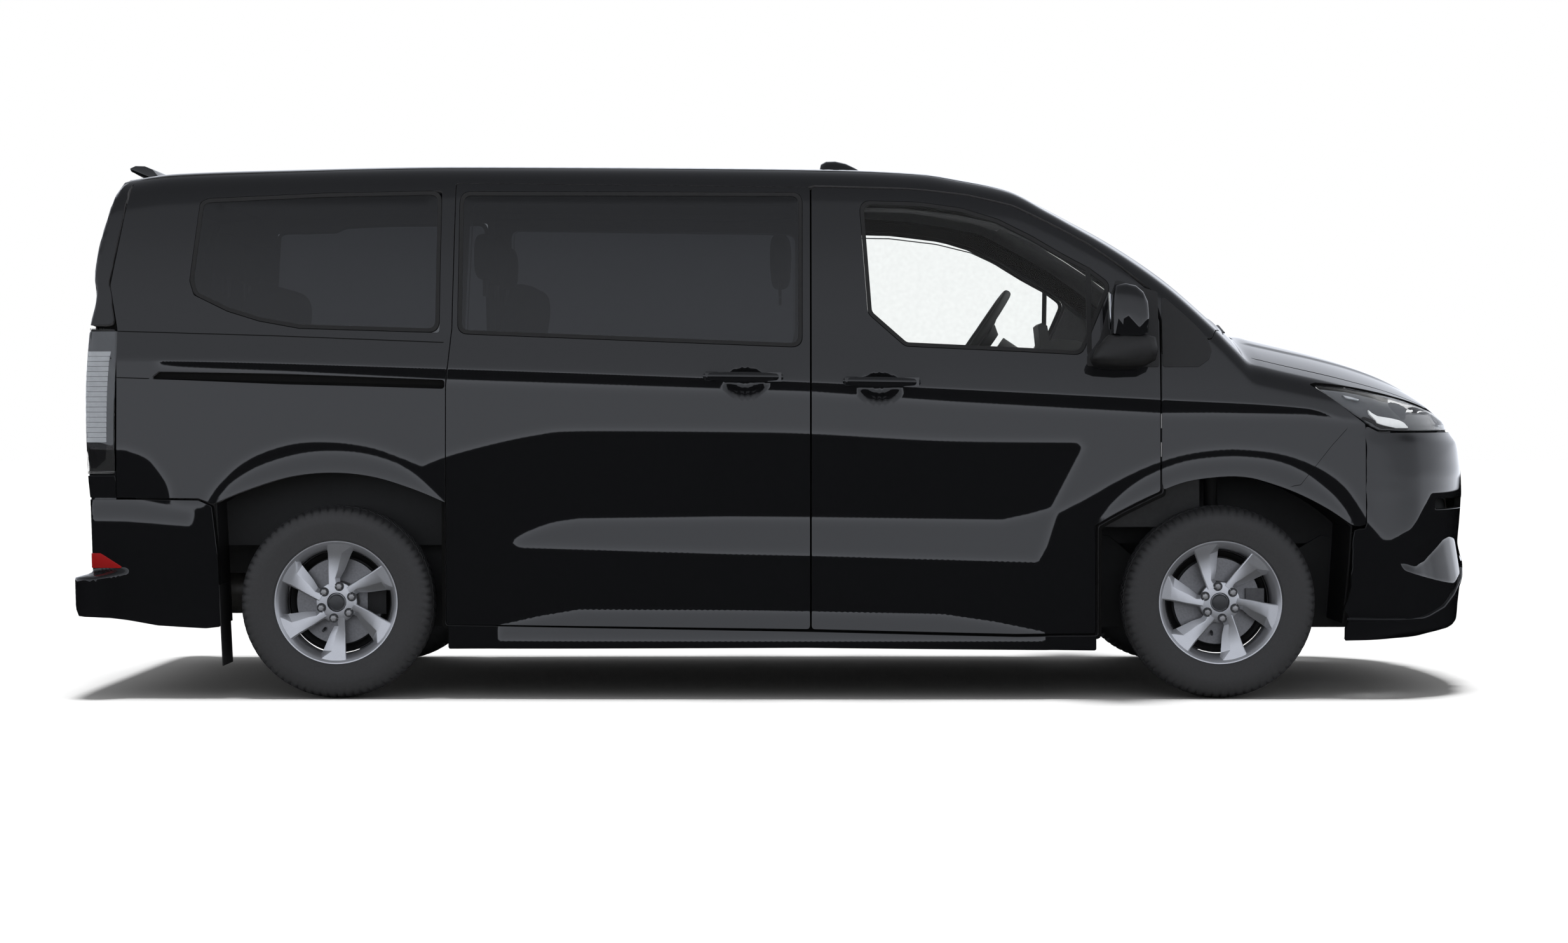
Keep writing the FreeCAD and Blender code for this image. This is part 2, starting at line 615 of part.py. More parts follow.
house_room = sheet_wall + seat_clearance
front_block = arch_prism(front_lip_shares, front_axle_x, house_room, front_house_inner_y - house_room)
rear_block = arch_prism(rear_lip_shares, rear_axle_x, house_room, rear_house_inner_y - house_room)
front_house = wheel_house(front_lip_shares, front_axle_x, front_house_inner_y, floor_low)
rear_house = wheel_house(rear_lip_shares, rear_axle_x, rear_house_inner_y, floor_low)
floor = box(-half_length, bulkhead_x, -outside_y, outside_y, floor_low, floor_top).common(trim_body)
for block in (front_block, rear_block):
    floor = floor.cut(block).cut(mirrored(block))
rail = box(-half_length + wall_thickness + rail_inset, beam_front_x - beam_depth, -rail_inner_y - rail_width,
           -rail_inner_y, rail_low, floor_low)
beam = box(beam_front_x - beam_depth, beam_front_x, -beam_half_width, beam_half_width,
           beam_high - beam_height, beam_high)
tow_start = vec(beam_front_x, -tow_y, tow_z)
tow_boss = pipe(tow_start, tow_start.add(vec(tow_length, 0, 0)), tow_boss_radius,
                tow_boss_radius - tow_bore_radius)
tow_hole = rod(tow_start, tow_start.add(vec(half_length, 0, 0)), tow_boss_radius + panel_gap)
bumper = solids_of(bumper.cut(tow_hole))
floor_pan = solids_of(floor)
wheel_houses = Part.makeCompound([both_sides(front_house), both_sides(rear_house)])
chassis_frame = fused([rail, mirrored(rail), beam, tow_boss])
front_wall = box(bulkhead_x, bulkhead_x + bulkhead_thickness, -bulkhead_half_width, bulkhead_half_width,
                 floor_low,
                 bulkhead_high)
for block in (front_block, rail):
    front_wall = front_wall.cut(block).cut(mirrored(block))
bulkhead = solids_of(front_wall)

# Wheels. Each one is drawn about its own centre, with its outer side at negative Y.
rim_barrel_radius = 203.0
barrel_wall = 8.0
rim_half_width = 95.0
flange_width = 6.0
hub_radius = 75.0
hub_face_out = 70.0
hub_back_out = 30.0
hub_tube_radius = 45.0
hub_tube_back_out = -22.0
spindle_radius = 15.0
spindle_play = 0.3
spindle_end_out = 45.0
disc_radius = 150.0
disc_thickness = 20.0
spoke_count = 6
spoke_inner_width = 42.0
spoke_outer_width = 97.0
spoke_face_out = 80.0
spoke_thickness = 30.0
spoke_waist_share = 0.45
spoke_waist_width = 38.0
spoke_root_radius = 60.0
tyre_shoulder_drop = 18.0
tyre_bead_step = 10.0
tread_edge = 27.0
tread_drop = 3.0
turn = 360.0


def ring(profile):
    # A profile of (outward, radius) points turned about the axle.
    points = [vec(0, -out, radius) for out, radius in profile]
    face = Part.Face(Part.makePolygon(points + points[:1]))
    return face.revolve(vec(0, 0, 0), vec(0, 1, 0), turn)


def tyre_ring():
    half = tyre_width / 2
    bead = rim_half_width - flange_width - seat_clearance
    seat = rim_barrel_radius + seat_clearance
    lip = bead_radius + seat_clearance
    side_rise = tyre_radius - bead_radius
    shoulder_out = half - tyre_shoulder_drop / 2
    right = [(bead, seat), (bead, lip), (bead + tyre_bead_step, lip),
             (half - seat_clearance, bead_radius + side_rise / 3), (half, bead_radius + side_rise / 2),
             (shoulder_out, tyre_radius - tyre_shoulder_drop), (half - tread_edge, tyre_radius - tread_drop)]
    crown = [(half - tread_edge * 2, tyre_radius)]
    left = [(-out, radius) for out, radius in reversed(right + crown)]
    return ring(right + crown + left)


def rim():
    inner = rim_barrel_radius - barrel_wall
    edge = rim_half_width
    groove = edge - flange_width
    barrel = ring([(-edge, inner), (edge, inner), (edge, bead_radius), (groove, bead_radius),
                   (groove, rim_barrel_radius), (-groove, rim_barrel_radius), (-groove, bead_radius),
                   (-edge, bead_radius)])
    bore = spindle_radius + spindle_play
    hub = ring([(hub_tube_back_out, bore), (hub_tube_back_out, disc_radius),
                (hub_tube_back_out + disc_thickness, disc_radius),
                (hub_tube_back_out + disc_thickness, hub_tube_radius), (hub_back_out, hub_tube_radius),
                (hub_back_out, hub_radius), (hub_face_out, hub_radius), (hub_face_out, 0),
                (spindle_end_out + spindle_play, 0), (spindle_end_out + spindle_play, bore)])
    waist = hub_radius + (inner - hub_radius) * spoke_waist_share
    start = spoke_root_radius
    stop = math.sqrt((inner + barrel_wall / 2) ** 2 - (spoke_outer_width / 2) ** 2)
    outline = [(start, spoke_inner_width), (waist, spoke_waist_width), (stop, spoke_outer_width),
               (stop, -spoke_outer_width), (waist, -spoke_waist_width), (start, -spoke_inner_width)]
    corners = [vec(width / 2, -spoke_face_out, radius) for radius, width in outline]
    spoke = Part.Face(Part.makePolygon(corners + corners[:1])).extrude(vec(0, spoke_thickness, 0))
    pieces = [barrel, hub]
    for number in range(spoke_count):
        arm = spoke.copy()
        arm.rotate(vec(0, 0, 0), vec(0, 1, 0), turn * number / spoke_count)
        pieces.append(arm)
    return fused(pieces)


# Steering knuckles and the front and rear suspension that carries the wheels
kingpin_y = 802.0
kingpin_radius = 12.0
arm_low = 240.0
arm_height = 22.0
arm_half_width = 35.0
pin_top = 430.0
bracket_height = 20.0
bracket_half_width = 22.0
strut_y = 700.0
strut_radius = 24.0
subframe_half_length = 150.0
subframe_half_width = 420.0
subframe_height = 60.0
knuckle_radius = 26.0
knuckle_gap = 6.0
spindle_root_y = 815.0
caliper_near = 100.0
caliper_far = 165.0
caliper_half_height = 45.0
caliper_side = 13.0
disc_play = 1.5
caliper_plate = 20.0
plate_half_height = 30.0
axle_tube_radius = 40.0
axle_end_y = 790.0
spring_y = 590.0
spring_radius = 55.0
trailing_arm_width = 50.0
trailing_arm_length = 480.0
disc_inner_y = wheel_plane_y + hub_tube_back_out
disc_outer_y = disc_inner_y + disc_thickness


def brake_caliper(axle_x, root_y):
    # The caliper straddles the disc ahead of the axle, on a plate from the knuckle or axle end.
    outer = box(axle_x + caliper_near, axle_x + caliper_far, -disc_outer_y - disc_play - caliper_side,
                -disc_inner_y + disc_play + caliper_side, tyre_radius - caliper_half_height,
                tyre_radius + caliper_half_height)
    slot = rod(vec(axle_x, -disc_outer_y - disc_play, tyre_radius), vec(axle_x,
                                                                        -disc_inner_y + disc_play,
                                                                        tyre_radius),
               disc_radius + disc_play)
    plate = box(axle_x, axle_x + caliper_far, -root_y - caliper_plate, -root_y,
                tyre_radius - plate_half_height, tyre_radius + plate_half_height)
    return [outer.cut(slot), plate]


def knuckle():
    low = arm_low + arm_height + knuckle_gap
    high = pin_top - knuckle_gap
    upright = rod(vec(front_axle_x, -kingpin_y, low), vec(front_axle_x, -kingpin_y, high), knuckle_radius)
    spindle = rod(vec(front_axle_x, -spindle_root_y, tyre_radius),
                  vec(front_axle_x, -wheel_plane_y - spindle_end_out, tyre_radius), spindle_radius)
    plate_y = disc_inner_y - disc_play * 2 - caliper_plate
    body = fused([upright, spindle] + brake_caliper(front_axle_x, plate_y))
    bore = rod(vec(front_axle_x, -kingpin_y, low), vec(front_axle_x, -kingpin_y, high),
               kingpin_radius + spindle_play)
    return body.cut(bore)


def front_side_arms():
    lower = box(front_axle_x - arm_half_width, front_axle_x + arm_half_width, -kingpin_y - kingpin_radius,
                -subframe_half_width, arm_low, arm_low + arm_height)
    pin = rod(vec(front_axle_x, -kingpin_y, arm_low), vec(front_axle_x, -kingpin_y,
                                                          pin_top + bracket_height),
              kingpin_radius)
    bracket = box(front_axle_x - bracket_half_width, front_axle_x + bracket_half_width,
                  -kingpin_y - kingpin_radius, -strut_y + strut_radius, pin_top, pin_top + bracket_height)
    strut_top = tyre_radius * front_lip_shares[2][1] - sheet_wall
    strut = rod(vec(front_axle_x, -strut_y, pin_top), vec(front_axle_x, -strut_y, strut_top), strut_radius)
    return [lower, pin, bracket, strut]


subframe = box(front_axle_x - subframe_half_length, front_axle_x + subframe_half_length,
               -subframe_half_width,
               subframe_half_width, arm_low, arm_low + subframe_height)
post = box(front_axle_x - subframe_half_length, front_axle_x + subframe_half_length,
           -rail_inner_y - rail_width,
           -rail_inner_y + overrun, arm_low, rail_low)
side_arms = front_side_arms()
front_suspension = fused([subframe, post, mirrored(post)] + side_arms + [mirrored(arm) for arm in side_arms])
axle_tube = rod(vec(rear_axle_x, -axle_end_y, tyre_radius), vec(rear_axle_x, axle_end_y, tyre_radius),
                axle_tube_radius)
rear_spindle = rod(vec(rear_axle_x, -axle_end_y, tyre_radius),
                   vec(rear_axle_x, -wheel_plane_y - spindle_end_out, tyre_radius), spindle_radius)
spring = rod(vec(rear_axle_x, -spring_y, tyre_radius), vec(rear_axle_x, -spring_y, floor_low), spring_radius)
trailing_arm = box(rear_axle_x, rear_axle_x + trailing_arm_length, -spring_y - trailing_arm_width / 2,
                   -spring_y + trailing_arm_width / 2, tyre_radius - trailing_arm_width / 2,
                   tyre_radius + trailing_arm_width / 2)
arm_foot = box(rear_axle_x + trailing_arm_length - trailing_arm_width, rear_axle_x + trailing_arm_length,
               -spring_y - trailing_arm_width / 2, -spring_y + trailing_arm_width / 2, tyre_radius,
               floor_low)
rear_plate_y = disc_inner_y - disc_play * 2 - caliper_plate
axle_side = [rear_spindle, spring, trailing_arm, arm_foot] + brake_caliper(rear_axle_x, rear_plate_y)
axle_stub = rod(vec(rear_axle_x, -axle_end_y, tyre_radius), vec(rear_axle_x, -rear_plate_y, tyre_radius),
                plate_half_height)
rear_axle = fused([axle_tube, axle_stub, mirrored(axle_stub)] + axle_side + [mirrored(s) for s in axle_side])

# Engine, fuel tank and exhaust under the floor
engine_back_x = 1640.0
engine_front_x = 2060.0
engine_half_width = 300.0
engine_low = 340.0
engine_high = 960.0
mount_length = 60.0
tank_back_x = -450.0
tank_front_x = 450.0
tank_half_width = 400.0
tank_height = 150.0
tank_corner = 30.0
hanger_half_width = 28.0
muffler_radius = 85.0
muffler_back_x = -2240.0
muffler_length = 480.0
exhaust_y = 300.0
exhaust_z = 345.0
engine = box(engine_back_x, engine_front_x, -engine_half_width, engine_half_width, engine_low, engine_high)
engine_foot = box(engine_back_x + mount_length, engine_back_x + mount_length * 2, -rail_inner_y,
                  rail_inner_y,
                  rail_low, floor_low)
engine_block = fused([engine, engine_foot])
fuel_tank = box(tank_back_x, tank_front_x, -tank_half_width, tank_half_width, floor_low - tank_height,
                floor_low)
fuel_tank = fuel_tank.makeFillet(tank_corner, fuel_tank.Edges)
muffler = rod(vec(muffler_back_x, -exhaust_y, exhaust_z), vec(muffler_back_x + muffler_length,
                                                              -exhaust_y, exhaust_z),
              muffler_radius)
hanger = box(muffler_back_x + mount_length, muffler_back_x + mount_length * 2,
             -exhaust_y - hanger_half_width,
             -exhaust_y + hanger_half_width, exhaust_z, floor_low)
exhaust = fused([muffler, hanger])

# Inside: dashboard, steering wheel, seats
dash_back_x = 1040.0
dash_low = 820.0
dash_half_width = 860.0
dash_lip = 60.0
column_y = 400.0
wheel_centre_x = 774.0
wheel_centre_z = 1322.0
wheel_tilt = 34.0
wheel_ring_radius = 190.0
wheel_ring_thickness = 15.0
column_radius = 30.0
column_length = 330.0
column_gap = 6.0
hub_depth = 60.0
steering_hub_radius = 60.0
steering_spoke_radius = 12.0
shaft_radius = 10.0
dash_profile = [(dash_back_x, dash_low), (dash_back_x - dash_lip, bulkhead_high - dash_lip),
                (dash_back_x, bulkhead_high), (bulkhead_x - seat_clearance, bulkhead_high),
                (bulkhead_x - seat_clearance, dash_low)]
dash_corners = [vec(x, -dash_half_width, z) for x, z in dash_profile]
dashboard = Part.Face(Part.makePolygon(dash_corners + dash_corners[:1])).extrude(vec(0,
                                                                                     dash_half_width * 2, 0))
tilt = math.radians(wheel_tilt)
wheel_centre = vec(wheel_centre_x, column_y, wheel_centre_z)
column_way = vec(math.cos(tilt), 0, -math.sin(tilt))
steering_ring = Part.makeTorus(wheel_ring_radius, wheel_ring_thickness, wheel_centre, column_way)


def down_column(distance):
    return wheel_centre.add(vec(column_way.x, 0, column_way.z).multiply(distance))


steering_hub = rod(wheel_centre, down_column(hub_depth), steering_hub_radius)
up_way = vec(math.sin(tilt), 0, math.cos(tilt))
side_way = vec(0, 1, 0)
steering_parts = [steering_ring, steering_hub]
for way in (side_way, side_way.multiply(-1.0), up_way.multiply(-1.0)):
    reach = vec(way.x, way.y, way.z).multiply(wheel_ring_radius)
    steering_parts.append(rod(wheel_centre, wheel_centre.add(reach), steering_spoke_radius))
column_start = down_column(hub_depth + column_gap)
column = rod(column_start, down_column(column_length), column_radius)
column_shaft = rod(down_column(hub_depth), column_start, shaft_radius)
dashboard = fused([dashboard, column])
steering_wheel = fused(steering_parts + [column_shaft])
front_seat_x = 70.0
front_seat_y = 400.0
front_seat_width = 500.0
middle_row_x = -1010.0
rear_row_x = -1960.0
row_width = 1300.0
cushion_depth = 520.0
cushion_top = 920.0
cushion_thickness = 140.0
back_thickness = 110.0
back_lean = 130.0
back_top = 1480.0
head_top = 1660.0
head_width = 260.0
head_thickness = 90.0
seat_corner = 40.0
foot_inset = 60.0
seat_heel = 33.0
head_depth_in_back = 20.0


def seat(x, y, width, places):
    # A cushion with a leaning back and one head restraint a place, on a box foot.
    low = cushion_top - cushion_thickness
    profile = [(x, low), (x + cushion_depth, low), (x + cushion_depth, cushion_top),
               (x + back_thickness, cushion_top), (x + back_thickness - back_lean, back_top),
               (x - back_lean, back_top), (x - seat_heel, low + cushion_thickness / 2)]
    corners = [vec(a, y - width / 2, b) for a, b in profile]
    shell = Part.Face(rounded_wire(corners, seat_corner)).extrude(vec(0, width, 0))
    foot = box(x + foot_inset, x + cushion_depth - foot_inset, y - width / 2 + foot_inset,
               y + width / 2 - foot_inset, floor_top, low)
    pieces = [shell, foot]
    for place in range(places):
        centre = y - width / 2 + width * (place * 2 + 1) / (places * 2)
        pieces.append(box(x - back_lean + seat_clearance, x - back_lean + head_thickness,
                          centre - head_width / 2,
                          centre + head_width / 2, back_top - head_depth_in_back, head_top))
    return fused(pieces)


front_seats = both_sides(seat(front_seat_x, -front_seat_y, front_seat_width, 1))
rear_seats = Part.makeCompound([seat(middle_row_x, 0, row_width, 3), seat(rear_row_x, 0, row_width, 3)])

# Mirrors, hinges, mud flaps, slide rails and roof pod
mirror_back_x = 1140.0
mirror_front_x = 1265.0
mirror_low = 1190.0
mirror_high = 1450.0
mirror_inner_y = 985.0
mirror_outer_y = 1137.0
mirror_corner = 30.0
mirror_foot_low = 1175.0
mirror_foot_high = 1212.0
mirror_foot_y = 940.0
hinge_radius = 3.0
hinge_length = 50.0
hinge_play = 0.6
lid_hinge_y = 60.0
door_hinge_levels = (850.0, 950.0)
flap_thickness = 4.0
flap_inner_y = 770.0
flap_outer_y = 960.0
rear_flap_low = 116.0
rear_flap_high = 400.0
rail_slot_low = 1100.0
rail_slot_high = 1122.0
rail_slot_rise = 23.0
rail_back_x = -2220.0
pod_top = 1970.0
pod_back_x = 133.0
pod_front_x = 320.0
pod_half_width = 38.0
mirror_shell = box(mirror_back_x, mirror_front_x, -mirror_outer_y, -mirror_inner_y, mirror_low, mirror_high)
mirror_shell = mirror_shell.makeFillet(mirror_corner, mirror_shell.Edges)
mirror_foot = box(mirror_back_x, mirror_front_x, -mirror_inner_y - mirror_corner, -mirror_foot_y,
                  mirror_foot_low, mirror_foot_high)
mirror_neck = box(mirror_back_x + mirror_corner, mirror_front_x - mirror_corner,
                  -mirror_inner_y - mirror_corner * 2, -mirror_inner_y, mirror_foot_low,
                  mirror_low + mirror_corner * 2)
mirror = fused([mirror_shell, mirror_foot, mirror_neck]).cut(outer_body)


def hinge_pin(start, way, leaf):
    # A pin in the panel gap, with the leaf that joins it to the fixed panel.
    return fused([rod(start, start.add(way), hinge_radius - hinge_play), leaf])


hinge_x = front_door_shares[-1][0] * half_length + panel_gap / 2
hinge_y = side_half_width(hinge_x, door_hinge_levels[1], 0.0) - hinge_radius
door_pins = []
for level in door_hinge_levels:
    leaf = box(hinge_x, hinge_x + panel_gap / 2, -hinge_y, -hinge_y + door_flange - hinge_radius, level,
               level + hinge_length)
    door_pins.append(hinge_pin(vec(hinge_x, -hinge_y, level), vec(0, 0, hinge_length), leaf))
tailgate_hinge_x = roof_plan_shares[0][0] * half_length - panel_gap / 2
tailgate_hinge_z = top_height(tailgate_hinge_x, 0.0, 0.0) - hinge_radius
tailgate_leaf = box(tailgate_hinge_x, tailgate_hinge_x + panel_gap / 2, -lid_hinge_y - hinge_length,
                    -lid_hinge_y,
                    tailgate_hinge_z - door_flange, tailgate_hinge_z)
tailgate_pin = hinge_pin(vec(tailgate_hinge_x, -lid_hinge_y - hinge_length, tailgate_hinge_z),
                         vec(0, hinge_length, 0), tailgate_leaf)
bonnet_hinge_x = (bonnet_plan_shares[0][0] + cowl_plan_shares[-1][0]) / 2 * half_length
bonnet_hinge_z = top_height(bonnet_hinge_x, 0.0, 0.0) - hinge_radius
bonnet_leaf = box(bonnet_hinge_x - panel_gap / 2, bonnet_hinge_x, -lid_hinge_y - hinge_length, -lid_hinge_y,
                  bonnet_hinge_z - door_flange, bonnet_hinge_z)
bonnet_pin = hinge_pin(vec(bonnet_hinge_x, -lid_hinge_y - hinge_length, bonnet_hinge_z),
                       vec(0, hinge_length, 0), bonnet_leaf)
hinges = both_sides(Part.makeCompound(door_pins + [tailgate_pin, bonnet_pin]))
lip_low = vec(rear_axle_x + rear_lip_shares[0][0] * tyre_radius, 0, rear_lip_shares[0][1] * tyre_radius)
lip_high = vec(rear_axle_x + rear_lip_shares[1][0] * tyre_radius, 0, rear_lip_shares[1][1] * tyre_radius)


def lip_point(level, ahead):
    share = (level - lip_low.z) / (lip_high.z - lip_low.z)
    return vec(lip_low.x + (lip_high.x - lip_low.x) * share + ahead, 0, level)


flap_points = [lip_point(rear_flap_low, seat_clearance), lip_point(rear_flap_high, seat_clearance),
               lip_point(rear_flap_high, flap_thickness), lip_point(rear_flap_low, flap_thickness)]
rear_flap = side_prism(flap_points, 0.0, 0.0, flap_inner_y, flap_outer_y)
mud_flaps = both_sides(rear_flap)
rail_front_x = slide_door_shares[-1][0] * half_length - panel_gap
slide_slot_points = [vec(rail_back_x, 0, rail_slot_low + rail_slot_rise),
                     vec(rail_back_x, 0, rail_slot_high + rail_slot_rise), vec(rail_front_x, 0,
                                                                               rail_slot_high),
                     vec(rail_front_x, 0, rail_slot_low)]
slot_prism = side_prism(slide_slot_points, 0.0, 0.0, half_width / 2)
body_side = solids_of(body_side.cut(slot_prism.cut(rebate_body)))
slide_rail = solids_of(flange_body.cut(rebate_body).common(slot_prism))
pod_points = [vec(pod_back_x, -pod_half_width, roof_height - roof_thickness / 2),
              vec(pod_back_x, -pod_half_width, pod_top), vec((pod_back_x + pod_front_x) / 2,
                                                             -pod_half_width, pod_top),
              vec(pod_front_x, -pod_half_width, roof_height - roof_thickness / 2)]
pod_face = Part.Face(Part.makePolygon(pod_points + pod_points[:1]))
roof_pod = pod_face.extrude(vec(0, pod_half_width * 2, 0)).cut(outer_body)

# Roof rack fixing points
rack_spacing_x = 1400.0
rack_spacing_y = 1240.0
rack_centre_x = -600.0
rack_hole_radius = 4.0
for x in (rack_centre_x - rack_spacing_x / 2, rack_centre_x + rack_spacing_x / 2):
    for y in (-rack_spacing_y / 2, rack_spacing_y / 2):
        roof = roof.cut(rod(vec(x, y, roof_height / 2), vec(x, y, above_roof), rack_hole_radius))
roof = solids_of(roof)

write("floor_pan", floor_pan)
write("wheel_houses", wheel_houses)
write("chassis_frame", chassis_frame)
write("bulkhead", bulkhead)
write("roof", roof)
write("windscreen", windscreen)
write("cowl_panel", cowl_panel)
write("bonnet", bonnet)
write("front_bumper", bumper)
write("grille", grille)
write("rear_bumper", rear_bumper)
write("headlamps", both_sides(headlamp))
write("tail_lamps", both_sides(tail_lamp))
write("tailgate", tailgate)
write("tailgate_glass", tailgate_glass)
write("engine", engine_block)
write("fuel_tank", fuel_tank)
write("exhaust", exhaust)
write("front_suspension", front_suspension)
write("rear_axle", rear_axle)
write("dashboard", dashboard)
write("steering_wheel", steering_wheel)
write("front_seats", front_seats)
write("rear_seats", rear_seats)
write("hinges", hinges)
write("mud_flaps", mud_flaps)
write("slide_rails", both_sides(slide_rail))
write("roof_pod", roof_pod)
write("sliding_glass", both_sides(slide_glass))
write("quarter_glass", both_sides(quarter_glass))
for side in ("right", "left"):
    placed = moved_nowhere if side == "right" else mirrored
    write("body_side_" + side, placed(body_side))
    write("wing_" + side, placed(wing))
    write("sliding_door_" + side, placed(slide_door))
    write("front_door_" + side, placed(front_door))
    write("front_glass_" + side, placed(front_glass))
    write("mirror_" + side, placed(mirror))
    write("knuckle_" + side, placed(knuckle()))
    for end, axle_x in (("front", front_axle_x), ("rear", rear_axle_x)):
        write("tyre_" + end + "_" + side, placed(moved(tyre_ring(), axle_x, -wheel_plane_y, tyre_radius)))
        write("rim_" + end + "_" + side, placed(moved(rim(), axle_x, -wheel_plane_y, tyre_radius)))
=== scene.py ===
import bmesh
import bpy
import math
import numpy as np
from mathutils import Matrix, Vector
from mathutils.geometry import delaunay_2d_cdt


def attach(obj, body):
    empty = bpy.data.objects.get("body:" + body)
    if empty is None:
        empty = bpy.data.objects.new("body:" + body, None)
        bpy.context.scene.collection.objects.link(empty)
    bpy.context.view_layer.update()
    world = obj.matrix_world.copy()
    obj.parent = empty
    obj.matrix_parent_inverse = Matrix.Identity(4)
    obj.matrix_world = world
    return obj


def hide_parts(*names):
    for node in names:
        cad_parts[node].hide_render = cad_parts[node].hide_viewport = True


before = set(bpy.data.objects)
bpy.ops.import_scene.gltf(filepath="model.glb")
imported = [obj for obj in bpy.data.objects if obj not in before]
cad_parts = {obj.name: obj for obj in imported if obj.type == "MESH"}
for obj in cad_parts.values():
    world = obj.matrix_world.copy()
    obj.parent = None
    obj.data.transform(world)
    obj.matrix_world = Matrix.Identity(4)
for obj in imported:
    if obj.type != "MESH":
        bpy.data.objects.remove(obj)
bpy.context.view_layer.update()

# The studio. A pale floor under a white surround, lit softly from straight above, as for a catalogue.
# Polished paint mirrors a dark floor below the horizon and a bright haze above it, on every side.
floor_size = 120.0
haze = [(0.0, 0.0), (0.4995, 0.0), (0.5, 1.85), (0.515, 1.45), (0.55, 1.05), (0.68, 0.84), (0.72, 0.72),
        (0.78, 0.36),
        (1.0, 0.22)]
room_light = 0.36
sun_strength, sun_spread = 2.9, 13


def flat_plane(name, size, height, material):
    mesh = bpy.data.meshes.new(name)
    reach = size / 2
    mesh.from_pydata([(-reach, -reach, height), (reach, -reach, height), (reach, reach, height),
                      (-reach, reach, height)], [], [(0, 1, 2, 3)])
    mesh.materials.append(material)
    plane = bpy.data.objects.new(name, mesh)
    bpy.context.scene.collection.objects.link(plane)
    return plane


def plain_stage_material(name, colour):
    material = bpy.data.materials.new(name)
    material.use_nodes = True
    shader = material.node_tree.nodes["Principled BSDF"]
    shader.inputs["Base Color"].default_value = (colour, colour, colour, 1.0)
    shader.inputs["Roughness"].default_value = 1.0
    shader.inputs["Specular IOR Level"].default_value = 0.0
    return material


flat_plane("pale_floor", floor_size, 0.0, plain_stage_material("pale_floor_paint", 0.9))
dark_card = flat_plane("dark_card", floor_size, 0.0006, plain_stage_material("dark_card_cloth", 0.0))
dark_card.visible_camera = False
dark_card.visible_diffuse = False
dark_card.visible_transmission = False
dark_card.visible_shadow = False

world = bpy.data.worlds.new("studio")
bpy.context.scene.world = world
world.use_nodes = True
sky = world.node_tree.nodes
wires = world.node_tree.links
sky.clear()
direction = sky.new("ShaderNodeTexCoord")
parts = sky.new("ShaderNodeSeparateXYZ")
rise = sky.new("ShaderNodeMapRange")
rise.inputs["From Min"].default_value = -1.0
glow = sky.new("ShaderNodeValToRGB")
while len(glow.color_ramp.elements) < len(haze):
    glow.color_ramp.elements.new(0.5)
for element, (place, level) in zip(glow.color_ramp.elements, haze):
    element.position = place
    element.color = (level * 0.94, level * 0.98, level * 1.07, 1.0)
wires.new(direction.outputs["Generated"], parts.inputs[0])
wires.new(parts.outputs["Z"], rise.inputs["Value"])
wires.new(rise.outputs[0], glow.inputs[0])
rays = sky.new("ShaderNodeLightPath")
mirrored_sky = sky.new("ShaderNodeBackground")
soft_sky = sky.new("ShaderNodeBackground")
soft_sky.inputs["Strength"].default_value = room_light
white_sky = sky.new("ShaderNodeBackground")
white_sky.inputs["Color"].default_value = (1.0, 1.0, 1.0, 1.0)
soft_sky.inputs["Color"].default_value = (1.0, 1.0, 1.0, 1.0)
glossy_mix = sky.new("ShaderNodeMixShader")
camera_mix = sky.new("ShaderNodeMixShader")
seen = sky.new("ShaderNodeMath")
seen.operation = "MAXIMUM"
sky_output = sky.new("ShaderNodeOutputWorld")
for source, target in ((glow.outputs["Color"], mirrored_sky.inputs["Color"]),
                       (rays.outputs["Is Glossy Ray"], glossy_mix.inputs["Fac"]),
                       (soft_sky.outputs[0], glossy_mix.inputs[1]),
                       (mirrored_sky.outputs[0], glossy_mix.inputs[2]),
                       (rays.outputs["Is Camera Ray"], seen.inputs[0]),
                       (rays.outputs["Is Transmission Ray"], seen.inputs[1]),
                       (seen.outputs[0], camera_mix.inputs["Fac"]),
                       (glossy_mix.outputs[0], camera_mix.inputs[1]),
                       (white_sky.outputs[0], camera_mix.inputs[2]),
                       (camera_mix.outputs[0], sky_output.inputs["Surface"])):
    wires.new(source, target)

overhead = bpy.data.lights.new("overhead", "SUN")
overhead.energy = sun_strength
overhead.angle = math.radians(sun_spread)
overhead_lamp = bpy.data.objects.new("overhead", overhead)
overhead_lamp.location = (0, 0, 6)
overhead_lamp.visible_glossy = False
bpy.context.scene.collection.objects.link(overhead_lamp)

# The camera. It stands level with the vehicle's waist, square to its right side and far enough off
# that the panels keep their true proportions, and it looks down by about one degree.
camera_distance, camera_height, camera_tilt, camera_lens = 11.78, 0.983, 0.98, 70.9
camera_data = bpy.data.cameras.new("camera")
camera_data.lens = camera_lens
camera_data.sensor_width = 36.0
camera_data.clip_end = 500.0
camera = bpy.data.objects.new("camera", camera_data)
camera.location = (0.0, -camera_distance, camera_height)
camera.rotation_euler = (math.radians(90 - camera_tilt), 0.0, 0.0)
bpy.context.scene.collection.objects.link(camera)
bpy.context.scene.camera = camera
bpy.context.scene.view_settings.view_transform = "Standard"

